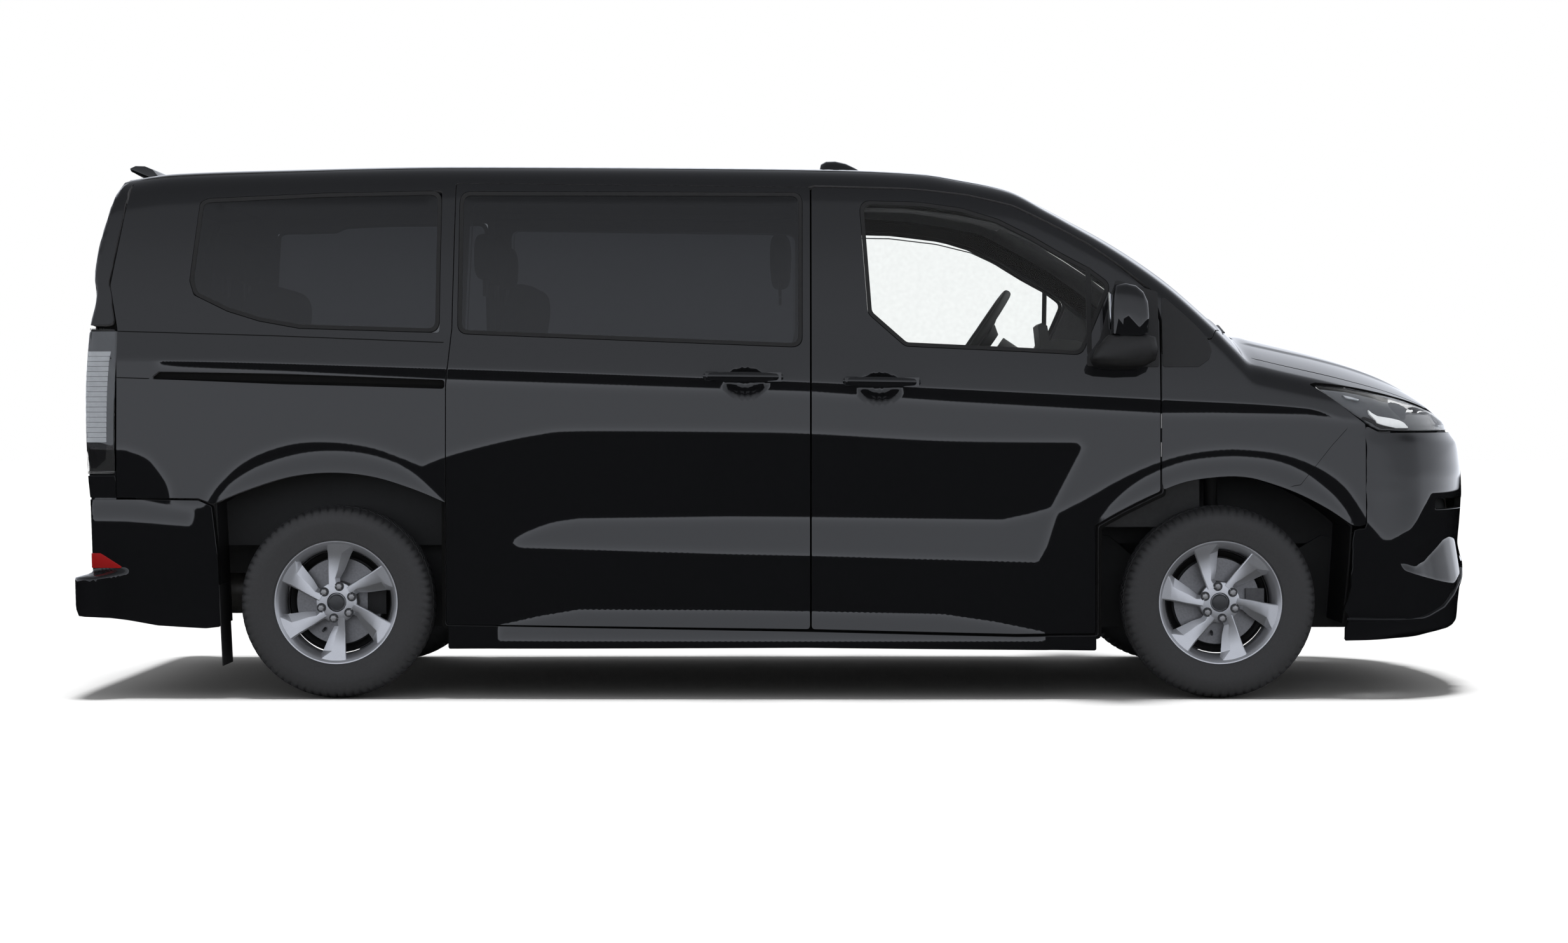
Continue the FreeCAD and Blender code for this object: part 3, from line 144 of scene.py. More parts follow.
# Side panels. Pressed steel sheet, drawn over one smooth form, with a sharp shoulder crease,
# a hollow scoop along the doors and flared lips round the wheel arches, then sprayed gloss black.
half_length = 2.525
half_width = 1.0
roof_height = 1.919
side_curve_shares = [(0.099, 0.925), (0.135, 0.962), (0.172, 0.972), (0.261, 0.996), (0.334, 0.994),
                     (0.417, 0.997), (0.49, 1.0), (0.568, 0.988), (0.672, 0.957), (0.782, 0.92),
                     (0.912, 0.866), (1.0, 0.826)]
top_line_shares = [(-1.0, 0.962), (-0.938, 0.973), (-0.862, 0.987), (-0.717, 0.9937), (-0.467, 1.0),
                   (-0.264, 0.999), (0.042, 0.995), (0.195, 0.987), (0.251, 0.976), (0.316, 0.96),
                   (0.3715, 0.927), (0.412, 0.901), (0.453, 0.874), (0.533, 0.8095), (0.6, 0.737),
                   (0.6325, 0.6996), (0.6515, 0.6785), (0.673, 0.671), (0.779, 0.637), (0.8135, 0.624),
                   (0.856, 0.6045), (0.9125, 0.568), (0.939, 0.539), (0.97, 0.503), (1.03, 0.4325)]
crown_shares = [(-0.97, 0.057), (0.119, 0.057), (0.251, 0.062), (0.316, 0.07), (0.371, 0.08),
                (0.453, 0.095), (0.533, 0.108), (0.6, 0.115), (0.65, 0.125), (0.792, 0.12), (1.03, 0.11)]
shoulder_shares = [(-0.97, 0.11), (0.238, 0.11), (0.396, 0.07), (0.594, 0.06), (0.673, 0.07), (1.03, 0.07)]
nose_line_shares = [(0.052, 0.911), (0.099, 0.918), (0.112, 0.95), (0.125, 0.982), (0.15, 0.99),
                    (0.164, 0.984), (0.181, 0.991), (0.216, 0.9985), (0.237, 0.998), (0.255, 0.994),
                    (0.286, 0.99), (0.32, 0.992), (0.348, 0.991), (0.382, 0.986), (0.404, 0.9885),
                    (0.435, 0.987), (0.464, 0.984), (0.488, 0.9735), (0.504, 0.971), (0.528, 0.958),
                    (0.558, 0.9505), (0.677, 0.9505), (1.042, 0.9505)]
tail_line_shares = [(0.052, -0.966), (0.365, -0.972), (0.409, -0.975), (0.547, -0.978), (0.635, -0.975),
                    (0.681, -0.972), (0.74, -0.964), (0.769, -0.967), (0.911, -0.945), (0.964, -0.929),
                    (1.042, -0.911)]
waist_taper = 0.03
crown_reach = 0.9
nose_depth, nose_power = 0.7, 2.6
tail_depth, tail_power = 0.121, 5.0
plan_width = 1.06


def curved(points, step=0.035):
    # The same points joined by one flowing line.
    full = [2 * np.array(points[0]) - points[1]] + [np.array(q)
                                                    for q in points] + [2 * np.array(points[-1]) - points[-2]]
    line = []
    for a, b, c, d in zip(full, full[1:], full[2:], full[3:]):
        pieces = max(1, int(round(np.hypot(*(c - b)) / step)))
        for n in range(pieces):
            t = n / pieces
            line.append(tuple(b + 0.5 * t * (c - a
                                             + t * (2 * a - 5 * b + 4 * c - d
                                                    + t * (3 * b - a - 3 * c + d)))))
    return line + [tuple(full[-2])]


# Lines of the pressing, as (along, height) in metres. The belt runs from the shoulder crease down to
# the scoop and round both arches; the other outlines are the arch lips and the sill's edge.
crease_top = [(-2.5, 1.194), (-2.2, 1.192), (-1.183, 1.164), (0.097, 1.116), (0.592, 1.092), (1.316, 1.055),
              (1.828, 1.024), (1.975, 0.985), (2.6, 0.96)]
belt_line = [(-2.6, 1.23), (-2.215, 1.23), (-2.185, 1.172), (-2.124, 1.165), (-1.995, 1.159),
             (-1.753, 1.15), (-1.511, 1.138), (-1.183, 1.121), (0.097, 1.078), (0.592, 1.043), (1.0, 1.02),
             (1.316, 1.003), (1.5, 1.004), (1.828, 0.998), (1.975, 0.98), (2.6, 0.955), (2.6, 0.714),
             (2.264, 0.714), (2.189, 0.59), (2.124, 0.552)]
belt_line += curved([(2.09, 0.556), (2.045, 0.62), (1.96, 0.745), (1.86, 0.815), (1.74, 0.858),
                     (1.612, 0.874),
                     (1.529, 0.874), (1.4075, 0.858), (1.286, 0.821), (1.164, 0.764), (1.066, 0.708),
                     (0.957, 0.651)])
belt_line += [(0.94, 0.6), (0.92, 0.535), (0.89, 0.477), (0.092, 0.501), (-0.187, 0.507)]
belt_line += curved([(-0.92, 0.53), (-0.952, 0.548), (-0.92, 0.577), (-0.819, 0.617), (-0.718, 0.634)],
                    0.02)
belt_line += [(-0.187, 0.641), (0.092, 0.639), (0.762, 0.63), (0.859, 0.651), (0.933, 0.672), (1.042, 0.882)]
belt_line += curved([(1.024, 0.899), (0.555, 0.905), (0.092, 0.93), (-0.187, 0.936), (-0.718, 0.939),
                     (-0.862, 0.926), (-1.018, 0.894), (-1.18, 0.85), (-1.267, 0.815)])
belt_line += curved([(-1.325, 0.8395), (-1.44, 0.88), (-1.585, 0.9), (-1.729, 0.892), (-1.874, 0.84),
                     (-1.975, 0.755), (-2.0325, 0.67)])
belt_line += [(-2.1, 0.672)]
belt_line += curved([(-2.148, 0.685), (-2.163, 0.75), (-2.195, 0.8), (-2.235, 0.844), (-2.311, 0.873)],
                    0.02)
belt_line += [(-2.6, 0.88)]
rear_flare = curved([(-1.996, 0.683), (-1.946, 0.75), (-1.845, 0.815), (-1.7, 0.86), (-1.57, 0.87),
                     (-1.44, 0.855), (-1.31, 0.8025), (-1.173, 0.6805)])[:-1]
rear_flare += curved([(-1.173, 0.6805), (-1.296, 0.733), (-1.44, 0.774), (-1.585, 0.789), (-1.729, 0.774),
                      (-1.874, 0.733), (-1.996, 0.683)])[:-1]
front_flare = curved([(1.0908, 0.614), (1.1395, 0.681), (1.2126, 0.748), (1.298, 0.797), (1.4075, 0.835),
                      (1.529, 0.85), (1.612, 0.85), (1.72, 0.836), (1.82, 0.796), (1.92, 0.718),
                      (1.97, 0.655), (1.996, 0.603)])[:-1]
front_flare += curved([(1.996, 0.603), (1.9, 0.668), (1.79, 0.724), (1.68, 0.763), (1.612, 0.776),
                       (1.529, 0.777),
                       (1.4075, 0.762), (1.298, 0.722), (1.188, 0.669), (1.0908, 0.614)])[:-1]
sill_band = [(-1.007, 0.2615), (-0.86, 0.295), (-0.718, 0.319), (-0.187, 0.317), (0.091, 0.313),
             (0.555, 0.3035), (0.737, 0.277), (0.919, 0.24), (0.919, 0.2), (-1.007, 0.2)]
bumper_band = [(-2.6, 0.706), (-2.278, 0.7036), (-2.061, 0.663), (-2.074, 0.605), (-2.307, 0.623),
               (-2.6, 0.627)]
edge_softness = 0.028
upward_tilt = 0.03
slope_reach = 21.6
column_step, level_step, run_step = 0.01, 0.005, 0.005
lowest, band_top, run_top = 0.15, 1.3, 2.8


def smooth_curve(table):
    # A curve through the table's points that never overshoots them.
    at_points, values = np.array(table, float).T
    steps = np.diff(at_points)
    slopes = np.diff(values) / steps
    tangents = np.zeros(len(values))
    tangents[0], tangents[-1] = slopes[0], slopes[-1]
    for i in range(1, len(steps)):
        if slopes[i - 1] * slopes[i] > 0:
            before = 2 * steps[i] + steps[i - 1]
            after = steps[i] + 2 * steps[i - 1]
            tangents[i] = (before + after) / (before / slopes[i - 1] + after / slopes[i])

    def value(at):
        at = np.asarray(at, float)
        i = np.clip(np.searchsorted(at_points, at) - 1, 0, len(steps) - 1)
        t = (at - at_points[i]) / steps[i]
        low = values[i] * (2 * t ** 3 - 3 * t ** 2 + 1) + steps[i] * tangents[i] * (t ** 3 - 2 * t ** 2 + t)
        high = values[i + 1] * (3 * t ** 2 - 2 * t ** 3) + steps[i] * tangents[i + 1] * (t ** 3 - t ** 2)
        before_first = values[0] + slopes[0] * (at - at_points[0])
        past_last = values[-1] + slopes[-1] * (at - at_points[-1])
        return np.where(at < at_points[0], before_first, np.where(at > at_points[-1], past_last, low + high))

    return value


def within(outline, a, b):
    # True where the points (a, b) lie inside the outline.
    inside = np.zeros(np.shape(a), bool)
    for (a0, b0), (a1, b1) in zip(outline, outline[1:] + outline[:1]):
        if b0 != b1:
            inside ^= ((b0 > b) != (b1 > b)) & (a < a0 + (b - b0) * (a1 - a0) / (b1 - b0))
    return inside


def margin(outline, a, b):
    # How far inside the outline each point lies, negative outside.
    best = np.full(np.shape(a), 9.0)
    for (a0, b0), (a1, b1) in zip(outline, outline[1:] + outline[:1]):
        da, db = a1 - a0, b1 - b0
        t = np.clip(((a - a0) * da + (b - b0) * db) / (da * da + db * db), 0, 1)
        best = np.minimum(best, np.hypot(a - a0 - t * da, b - b0 - t * db))
    return np.where(within(outline, a, b), best, -best)


def eased(t):
    t = np.clip(t, 0, 1)
    return t * t * (3 - 2 * t)


def soft_least(a, b, softness):
    # The smaller of two values, with a rounded change from one to the other.
    share = np.clip(0.5 + 0.5 * (b - a) / softness, 0, 1)
    return b * (1 - share) + a * share - softness * share * (1 - share)


side_curve = smooth_curve(side_curve_shares)
top_line = smooth_curve(top_line_shares)
crown_curve = smooth_curve(crown_shares)
shoulder_curve = smooth_curve(shoulder_shares)
nose_line = smooth_curve(nose_line_shares)
tail_line = smooth_curve(tail_line_shares)
crease_curve = smooth_curve(crease_top)

columns = np.arange(-2.56, 2.5601, column_step)
levels = np.arange(lowest, band_top + level_step / 2, level_step)
along, up = np.meshgrid(columns, levels, indexing="ij")
raised = np.maximum.reduce([margin(line, along, up)
                            for line in (belt_line, rear_flare, front_flare, sill_band, bumper_band)])
lean = np.clip(np.where(raised > 0, raised, raised * 2.4) / edge_softness, -1, 1)
tuck = 0.022 + 0.045 * eased((0.56 - up) / 0.14)
pressed_slope = (up - camera_height) / slope_reach - np.where(lean > 0, upward_tilt * lean, tuck * lean)
curve_rise = side_curve((up + level_step) / roof_height) - side_curve((up - level_step) / roof_height)
curve_slope = half_width * curve_rise / (2 * level_step)
above_crease = eased((up - crease_curve(along)) / 0.012 + 0.5)
slope = pressed_slope * (1 - above_crease) + curve_slope * above_crease
middle_slope = np.pad((slope[:, 1:] + slope[:, :-1]) / 2, ((0, 0), (0, 1)))
drop = np.cumsum(middle_slope[:, ::-1], axis=1)[:, ::-1] * level_step
pressed = half_width * side_curve(band_top / roof_height) - drop
taper = waist_taper * (columns / half_length) ** 2


def side_width(i, height):
    # Half the body's width at one column and height.
    plain = half_width * side_curve(height / roof_height)
    return np.where(height > band_top, plain, np.interp(height, levels, pressed[i])) - taper[i]


runs = np.arange(lowest, run_top, run_step)
heights = np.arange(lowest, 1.96, level_step)
reaches = np.arange(0.0, 1.01, level_step)
section_y = np.zeros((len(columns), len(runs)))
section_z = np.zeros((len(columns), len(runs)))
width_at_height = np.zeros((len(columns), len(heights)))
plain_width = np.zeros((len(columns), len(heights)))
run_at_height = np.zeros((len(columns), len(heights)))
height_at_reach = np.zeros((len(columns), len(reaches)))
run_at_reach = np.zeros((len(columns), len(reaches)))
for i, x in enumerate(columns):
    centre = roof_height * float(top_line(x / half_length))
    crown = half_width * float(crown_curve(x / half_length))
    meet_z = centre
    for _ in range(40):
        meet_y = float(side_width(i, meet_z))
        meet_z = (meet_z + centre - crown * (meet_y / crown_reach) ** 2) / 2
    bend = half_width * float(shoulder_curve(x / half_length))
    side_z = meet_z - bend
    side_y = float(side_width(i, side_z))
    edge_y = meet_y - bend
    edge_z = centre - crown * (edge_y / crown_reach) ** 2
    span = 1.1 * math.hypot(side_y - edge_y, edge_z - side_z)
    t = np.clip((runs - side_z) / span, 0, 1)
    bend_y = side_y * (1 - t) ** 2 + 2 * t * (1 - t) * meet_y + t * t * edge_y
    bend_z = side_z * (1 - t) ** 2 + 2 * t * (1 - t) * meet_z + t * t * edge_z
    flat_y = np.maximum(edge_y - (runs - side_z - span), 0.0)
    flat_z = centre - crown * (flat_y / crown_reach) ** 2
    y = np.where(runs < side_z, side_width(i, runs), np.where(runs < side_z + span, bend_y, flat_y))
    z = np.where(runs < side_z, runs, np.where(runs < side_z + span, bend_z, flat_z))
    plain_width[i] = np.interp(heights, z, y)
    nose_start = half_length * nose_line(z / roof_height) - nose_depth
    nose_share = np.clip((x - nose_start) / nose_depth, 0, 1)
    y = soft_least(y, plan_width * (1 - nose_share ** nose_power) ** (1 / nose_power), 0.05)
    tail_start = half_length * tail_line(z / roof_height) + tail_depth
    tail_share = np.clip((tail_start - x) / tail_depth, 0, 1)
    y = soft_least(y, plan_width * (1 - tail_share ** tail_power) ** (1 / tail_power), 0.03)
    section_y[i], section_z[i] = y, z
    width_at_height[i] = np.interp(heights, z, y)
    run_at_height[i] = np.interp(heights, z, runs)
    upper = runs >= side_z - 0.03
    height_at_reach[i] = np.interp(reaches, y[upper][::-1], z[upper][::-1])
    run_at_reach[i] = np.interp(reaches, y[upper][::-1], runs[upper][::-1])


def read_grid(table, a, a_first, a_step, b, b_first, b_step):
    # The value between the four nearest entries of a table.
    i = np.clip((np.asarray(a, float) - a_first) / a_step, 0, table.shape[0] - 1.001)
    j = np.clip((np.asarray(b, float) - b_first) / b_step, 0, table.shape[1] - 1.001)
    i0, j0 = i.astype(int), j.astype(int)
    di, dj = i - i0, j - j0
    return ((table[i0, j0] * (1 - dj) + table[i0, j0 + 1] * dj) * (1 - di)
            + (table[i0 + 1, j0] * (1 - dj) + table[i0 + 1, j0 + 1] * dj) * di)


def read_table(table, x, other, first, step):
    return read_grid(table, x, columns[0], column_step, other, first, step)


def on_side(x, run):
    # A point of the right side, by its place along and its run up the side and over the roof.
    y = read_table(section_y, x, run, lowest, run_step)
    z = read_table(section_z, x, run, lowest, run_step)
    return np.stack([np.asarray(x, float), -y, z], -1)


def on_top(x, y):
    z = read_table(height_at_reach, x, np.abs(y), 0.0, level_step)
    return np.stack([np.asarray(x, float), np.asarray(y, float), z], -1)


def width_at(x, z):
    return read_table(width_at_height, x, z, lowest, level_step)


def side_line(points):
    # Side view points moved into the panel's own sheet, where the second value is the run.
    return [(x, float(read_table(run_at_height, x, z, lowest, level_step))) for x, z in points]


def plan_line(points):
    # Plan view points (along, out from the middle) moved into the panel's own sheet.
    return [(x, float(read_table(run_at_reach, x, y, 0.0, level_step))) for x, y in points]


def oblong(a_low, a_high, b_low, b_high):
    return [(a_low, b_low), (a_high, b_low), (a_high, b_high), (a_low, b_high)]


def area_of(corners):
    return sum(a[0] * b[1] - b[0] * a[1] for a, b in zip(corners, corners[1:] + corners[:1])) / 2


def counter_clockwise(corners):
    return list(corners) if area_of(corners) > 0 else list(corners)[::-1]


def grown(corners, distance):
    # The outline moved outwards by a distance, with its corners kept.
    corners = counter_clockwise(corners)
    count = len(corners)
    moved = []
    for k in range(count):
        before, here, after = (np.array(corners[(k + n) % count]) for n in (-1, 0, 1))
        first = (here - before) / np.hypot(*(here - before))
        second = (after - here) / np.hypot(*(after - here))
        bisector = np.array([first[1] + second[1], -first[0] - second[0]])
        length = np.hypot(*bisector)
        bisector = bisector / length
        lean_share = max(bisector @ np.array([first[1], -first[0]]), 0.4)
        moved.append(tuple(here + bisector * distance / lean_share))
    return moved


def rounded_loop(corners, radius, step):
    # The outline with round corners, as closely spaced points.
    corners = counter_clockwise(corners)
    count = len(corners)
    path = []
    for k in range(count):
        before, here, after = (np.array(corners[(k + n) % count]) for n in (-1, 0, 1))
        back, ahead = before - here, after - here
        back_length, ahead_length = np.hypot(*back), np.hypot(*ahead)
        cosine = np.clip(back @ ahead / (back_length * ahead_length), -1, 1)
        half = math.acos(cosine) / 2
        cut = min(radius / math.tan(half) if half > 0.01 else 9.0, back_length * 0.45, ahead_length * 0.45)
        start, end = here + back / back_length * cut, here + ahead / ahead_length * cut
        pieces = max(2, int(math.degrees(math.pi - 2 * half) / 9))
        for piece_number in range(pieces + 1):
            t = piece_number / pieces
            path.append(start * (1 - t) ** 2 + here * 2 * t * (1 - t) + end * t * t)
    spaced = []
    for k, here in enumerate(path):
        after = path[(k + 1) % len(path)]
        gap = np.hypot(*(after - here))
        if gap < step * 0.1:
            continue
        pieces = max(1, int(round(gap / step)))
        spaced += [tuple(here + (after - here) * n / pieces) for n in range(pieces)]
    return spaced


def loop_outward(loop):
    points = np.array(loop)
    along_loop = np.roll(points, -1, 0) - np.roll(points, 1, 0)
    along_loop /= np.maximum(np.hypot(*along_loop.T), 1e-9)[:, None]
    return np.stack([along_loop[:, 1], -along_loop[:, 0]], -1)


crease_rows = (crease_curve, (-0.012, -0.008, -0.0045, -0.0015, 0.002, 0.006, 0.011))


def filled(loops, spacing, close_rows=None):
    # Triangles inside the first loop and outside the others, on a staggered grid of points, with
    # closer rows along a crease.
    outer = np.array(loops[0])
    low, high = outer.min(0), outer.max(0)
    rows = []
    for row, b in enumerate(np.arange(low[1] + spacing[1] / 2, high[1], spacing[1])):
        a = np.arange(low[0] + spacing[0] * (0.25 + 0.5 * (row % 2)), high[0], spacing[0])
        rows.append(np.stack([a, np.full(len(a), b)], -1))
    grid = np.concatenate(rows) if rows else np.zeros((0, 2))
    clear = min(spacing) * 0.45
    if close_rows:
        line, offsets = close_rows
        spread = grid[:, 1] - line(grid[:, 0])
        a = np.arange(low[0], high[0], 0.0125)
        grid = np.concatenate([grid[(spread < offsets[0] - 0.004) | (spread > offsets[-1] + 0.004)]]
                              + [np.stack([a + 0.006 * (k % 2), line(a + 0.006 * (k % 2)) + offset], -1)
                                 for k, offset in enumerate(offsets)])
        clear = 0.0018
    room = margin(loops[0], grid[:, 0], grid[:, 1])
    for hole in loops[1:]:
        room = np.minimum(room, -margin(hole, grid[:, 0], grid[:, 1]))
    grid = grid[room > clear]
    points, edges = [], []
    for loop in loops:
        first = len(points)
        edges += [(first + k, first + (k + 1) % len(loop)) for k in range(len(loop))]
        points += list(loop)
    rim_count = len(points)
    points += [tuple(p) for p in grid]
    corners, _, faces, sources, _, _ = delaunay_2d_cdt([Vector(p) for p in points], edges, [], 0, 1e-8)
    place = {}
    for k, source in enumerate(sources):
        for original in source:
            place[original] = k
    corners = np.array([tuple(c) for c in corners])
    faces = np.array([f for f in faces if len(f) == 3])
    middle = corners[faces].mean(1)
    keep = within(loops[0], middle[:, 0], middle[:, 1])
    for hole in loops[1:]:
        keep &= ~within(hole, middle[:, 0], middle[:, 1])
    return corners, faces[keep], [place[k] for k in range(rim_count)]


def facing(surface, a, b, step=0.006):
    # The point, the outward direction and the two directions within the sheet.
    ahead = surface(a + step, b) - surface(a - step, b)
    upward = surface(a, b + step) - surface(a, b - step)
    normal = np.cross(ahead, upward)
    normal /= np.maximum(np.linalg.norm(normal, axis=-1), 1e-12)[..., None]
    return surface(a, b), normal, ahead / (2 * step), upward / (2 * step)


class Sheetwork:
    # Collects the corners, faces, directions and finishes of one piece.
    def __init__(self):
        self.corners, self.normals, self.faces, self.finishes = [], [], [], []
        self.count = 0

    def add(self, corners, normals, faces, finish):
        self.corners.append(np.asarray(corners, float))
        self.normals.append(np.asarray(normals, float))
        self.faces.append(np.asarray(faces, int) + self.count)
        self.finishes.append(np.full(len(faces), finish))
        first = self.count
        self.count += len(corners)
        return first


lined = (0, 1)
skin_depth, trim_near, trim_far = 0.022, 0.024, 0.055
side_spacing = (0.02, 0.008)


def panel(work, surface, outline, holes=(), near=0.0, far=0.02, edge=0.0014, corner=0.025, hole_corner=0.04,
          spacing=(0.025, 0.01), finishes=(0, 0), rim_step=0.012, close_rows=None):
    # A closed sheet between two depths below the surface, with rounded outer edges.
    loops = [rounded_loop(outline, corner, rim_step)]
    loops += [rounded_loop(hole, hole_corner, rim_step) for hole in holes]
    outward = [loop_outward(loop) * (1 if k == 0 else -1) for k, loop in enumerate(loops)]
    inner_loops = [[tuple(p) for p in np.array(loop) - out * edge] for loop, out in zip(loops, outward)]
    corners, faces, rim = filled(inner_loops, spacing, close_rows)
    points, normals, _, _ = facing(surface, corners[:, 0], corners[:, 1])
    first = work.add(points - normals * near, normals, faces, finishes[0])
    rim_points = np.concatenate([np.array(loop) for loop in loops])
    rim_out = np.concatenate(outward)
    counts = [len(loop) for loop in loops]
    rings = []
    for inset, depth, lean_out in ((edge, near, 0.0), (edge * 0.3, near + edge * 0.3, 1.0),
                                   (0.0, near + edge, 9.0), (0.0, far, 9.0)):
        at = rim_points - rim_out * inset
        point, normal, ahead, upward = facing(surface, at[:, 0], at[:, 1])
        sideways = ahead * rim_out[:, :1] + upward * rim_out[:, 1:]
        sideways /= np.maximum(np.linalg.norm(sideways, axis=1), 1e-9)[:, None]
        tilted = normal + sideways * lean_out
        tilted /= np.linalg.norm(tilted, axis=1)[:, None]
        rings.append(work.add(point - normal * depth, tilted, np.zeros((0, 3), int), 0))
    for a, b, finish in zip(rings, rings[1:], (finishes[0], finishes[0], finishes[1])):
        # Holes run the other way round, so their quads are turned with them.
        start = 0
        quads = []
        for number, count in enumerate(counts):
            k = np.arange(count) + start
            n = (np.arange(count) + 1) % count + start
            if number == 0:
                quads += [np.stack([a + k, b + k, a + n], -1), np.stack([a + n, b + k, b + n], -1)]
            else:
                quads += [np.stack([a + k, a + n, b + k], -1), np.stack([a + n, b + n, b + k], -1)]
            start += count
        quads = np.concatenate(quads)
        work.faces.append(quads)
        work.finishes.append(np.full(len(quads), finish))
    back_corners, back_faces, _ = filled(loops, (0.12, 0.12))
    points, normals, _, _ = facing(surface, back_corners[:, 0], back_corners[:, 1])
    work.add(points - normals * far, -normals, back_faces[:, ::-1], finishes[1])


def placed(name, mesh, materials, body, nodes):
    # The finished mesh as a piece that rides on its body.
    for material in materials:
        mesh.materials.append(material)
    piece = bpy.data.objects.new(name, mesh)
    bpy.context.scene.collection.objects.link(piece)
    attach(piece, body)
    if nodes:
        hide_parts(*nodes)
    return piece


def make_piece(name, work, materials, body, nodes=(), left=False):
    corners = np.concatenate(work.corners)
    normals = np.concatenate(work.normals)
    faces = np.concatenate(work.faces)
    if left:
        corners = corners * (1, -1, 1)
        normals = normals * (1, -1, 1)
        faces = faces[:, ::-1]
    mesh = bpy.data.meshes.new(name)
    mesh.from_pydata(corners.tolist(), [], faces.tolist())
    mesh.polygons.foreach_set("material_index", np.concatenate(work.finishes).astype(np.int32))
    mesh.polygons.foreach_set("use_smooth", np.ones(len(faces), bool))
    mesh.update()
    mesh.normals_split_custom_set_from_vertices(normals.tolist())
    return placed(name, mesh, materials, body, nodes)


right_first, left_first = ("right", "left"), ("left", "right")


def both_sides(name, work, materials, bodies, nodes=(), hands=right_first):
    # The piece of the first hand as drawn, and the other one as its mirror image.
    for hand, body in zip(hands, bodies):
        own_nodes = [node + "_" + hand for node in nodes]
        make_piece(name + "_" + hand, work, materials, body, own_nodes, hand != hands[0])


def procedural(name, colour, roughness, metallic=0.0, spread=0.15, grain=60.0, bump=0.0, bump_grain=400.0,
               rough_spread=0.05, **sockets):
    # A finish whose colour, roughness and fine relief vary a little over the surface.
    material = bpy.data.materials.new(name)
    material.use_nodes = True
    nodes = material.node_tree.nodes
    links = material.node_tree.links
    shader = nodes["Principled BSDF"]
    where = nodes.new("ShaderNodeTexCoord")
    noise = nodes.new("ShaderNodeTexNoise")
    noise.inputs["Scale"].default_value = grain
    noise.inputs["Detail"].default_value = 4.0
    links.new(where.outputs["Object"], noise.inputs["Vector"])
    ramp = nodes.new("ShaderNodeValToRGB")
    ramp.color_ramp.elements[0].position = 0.3
    ramp.color_ramp.elements[1].position = 0.7
    ramp.color_ramp.elements[0].color = tuple(c * (1 - spread) for c in colour) + (1.0,)
    ramp.color_ramp.elements[1].color = tuple(min(c * (1 + spread), 1.0) for c in colour) + (1.0,)
    links.new(noise.outputs["Fac"], ramp.inputs[0])
    links.new(ramp.outputs["Color"], shader.inputs["Base Color"])
    wear = nodes.new("ShaderNodeMapRange")
    wear.inputs["To Min"].default_value = max(roughness - rough_spread, 0.0)
    wear.inputs["To Max"].default_value = roughness + rough_spread
    links.new(noise.outputs["Fac"], wear.inputs["Value"])
    links.new(wear.outputs[0], shader.inputs["Roughness"])
    if bump:
        relief = nodes.new("ShaderNodeTexNoise")
        relief.inputs["Scale"].default_value = bump_grain
        relief.inputs["Detail"].default_value = 3.0
        links.new(where.outputs["Object"], relief.inputs["Vector"])
        press = nodes.new("ShaderNodeBump")
        press.inputs["Strength"].default_value = bump
        press.inputs["Distance"].default_value = 0.001
        links.new(relief.outputs["Fac"], press.inputs["Height"])
        links.new(press.outputs["Normal"], shader.inputs["Normal"])
    shader.inputs["Metallic"].default_value = metallic
    for socket, value in sockets.items():
        shader.inputs[socket.replace("_", " ")].default_value = value
    return material


black_paint = procedural("black_paint", (0.0075, 0.0078, 0.0088), 0.035, spread=0.12, grain=900.0,
                         rough_spread=0.01)
# Dull black for inner flanges, backings and channels; on the flat seam strips along the sides it is painted
# shade for the grooves.
matt_black_and_seam_shade = procedural("matt_black_and_seam_shade", (0.006, 0.006, 0.006), 0.7, Specular_IOR_Level=0.12)
grey_lining = procedural("grey_lining", (0.1, 0.1, 0.105), 0.85, grain=90.0, bump=0.3, bump_grain=900.0)

matt_black = procedural("matt_black", (0.012, 0.012, 0.0125), 0.5, bump=0.35, bump_grain=1400.0)
rubber = procedural("rubber", (0.014, 0.014, 0.0145), 0.7, bump=0.2)

gap = 0.006
arch_front_points = [(1.0875, 0.61), (1.188, 0.665), (1.298, 0.72), (1.4075, 0.762), (1.529, 0.779),
                     (1.612, 0.778), (1.68, 0.763), (1.79, 0.724), (1.9, 0.668), (1.996, 0.603)]
arch_rear_points = [(-2.0, 0.684), (-1.874, 0.735), (-1.729, 0.779), (-1.585, 0.793), (-1.44, 0.779),
                    (-1.296, 0.735), (-1.173, 0.683)]
arch_front, arch_rear = curved(arch_front_points, 0.02), curved(arch_rear_points, 0.02)
slide_door_outline = [(0.091, 0.246), (0.091, 1.8), (-1.158, 1.815), (-1.163, 1.3), (-1.183, 1.1),
                      (-1.183, 0.262)]
door_top = [(0.439, 1.792), (0.64, 1.771), (0.8, 1.733), (0.929, 1.671), (1.061, 1.6), (1.179, 1.516),
            (1.29, 1.424)]
front_door_outline = [(0.097, 0.246), (0.097, 1.8)] + door_top + [(1.316, 1.324), (1.316, 0.729)]
front_door_outline += [(x, z) for x, z in arch_front[::-1] if x < 1.312] + [(1.0905, 0.232), (0.813, 0.229)]
both_doors = slide_door_outline[1:] + [(0.094, 0.241), (0.813, 0.223), (1.0965, 0.226), (1.0965, 0.609)]
both_doors += [(1.188, 0.66), (1.298, 0.714), (1.322, 0.725), (1.322, 1.326)]
both_doors += [(x + 0.004, z + 0.005) for x, z in door_top[::-1]] + [(0.094, 1.807)]
front_window = [(0.264, 1.754), (0.294, 1.351), (0.424, 1.236), (0.854, 1.216), (1.044, 1.206),
                (1.15, 1.455),
                (1.074, 1.512), (0.974, 1.566), (0.874, 1.626), (0.754, 1.687), (0.624, 1.727),
                (0.484, 1.747)]
slide_window = [(0.065, 1.783), (0.065, 1.232), (-1.145, 1.28), (-1.145, 1.786)]
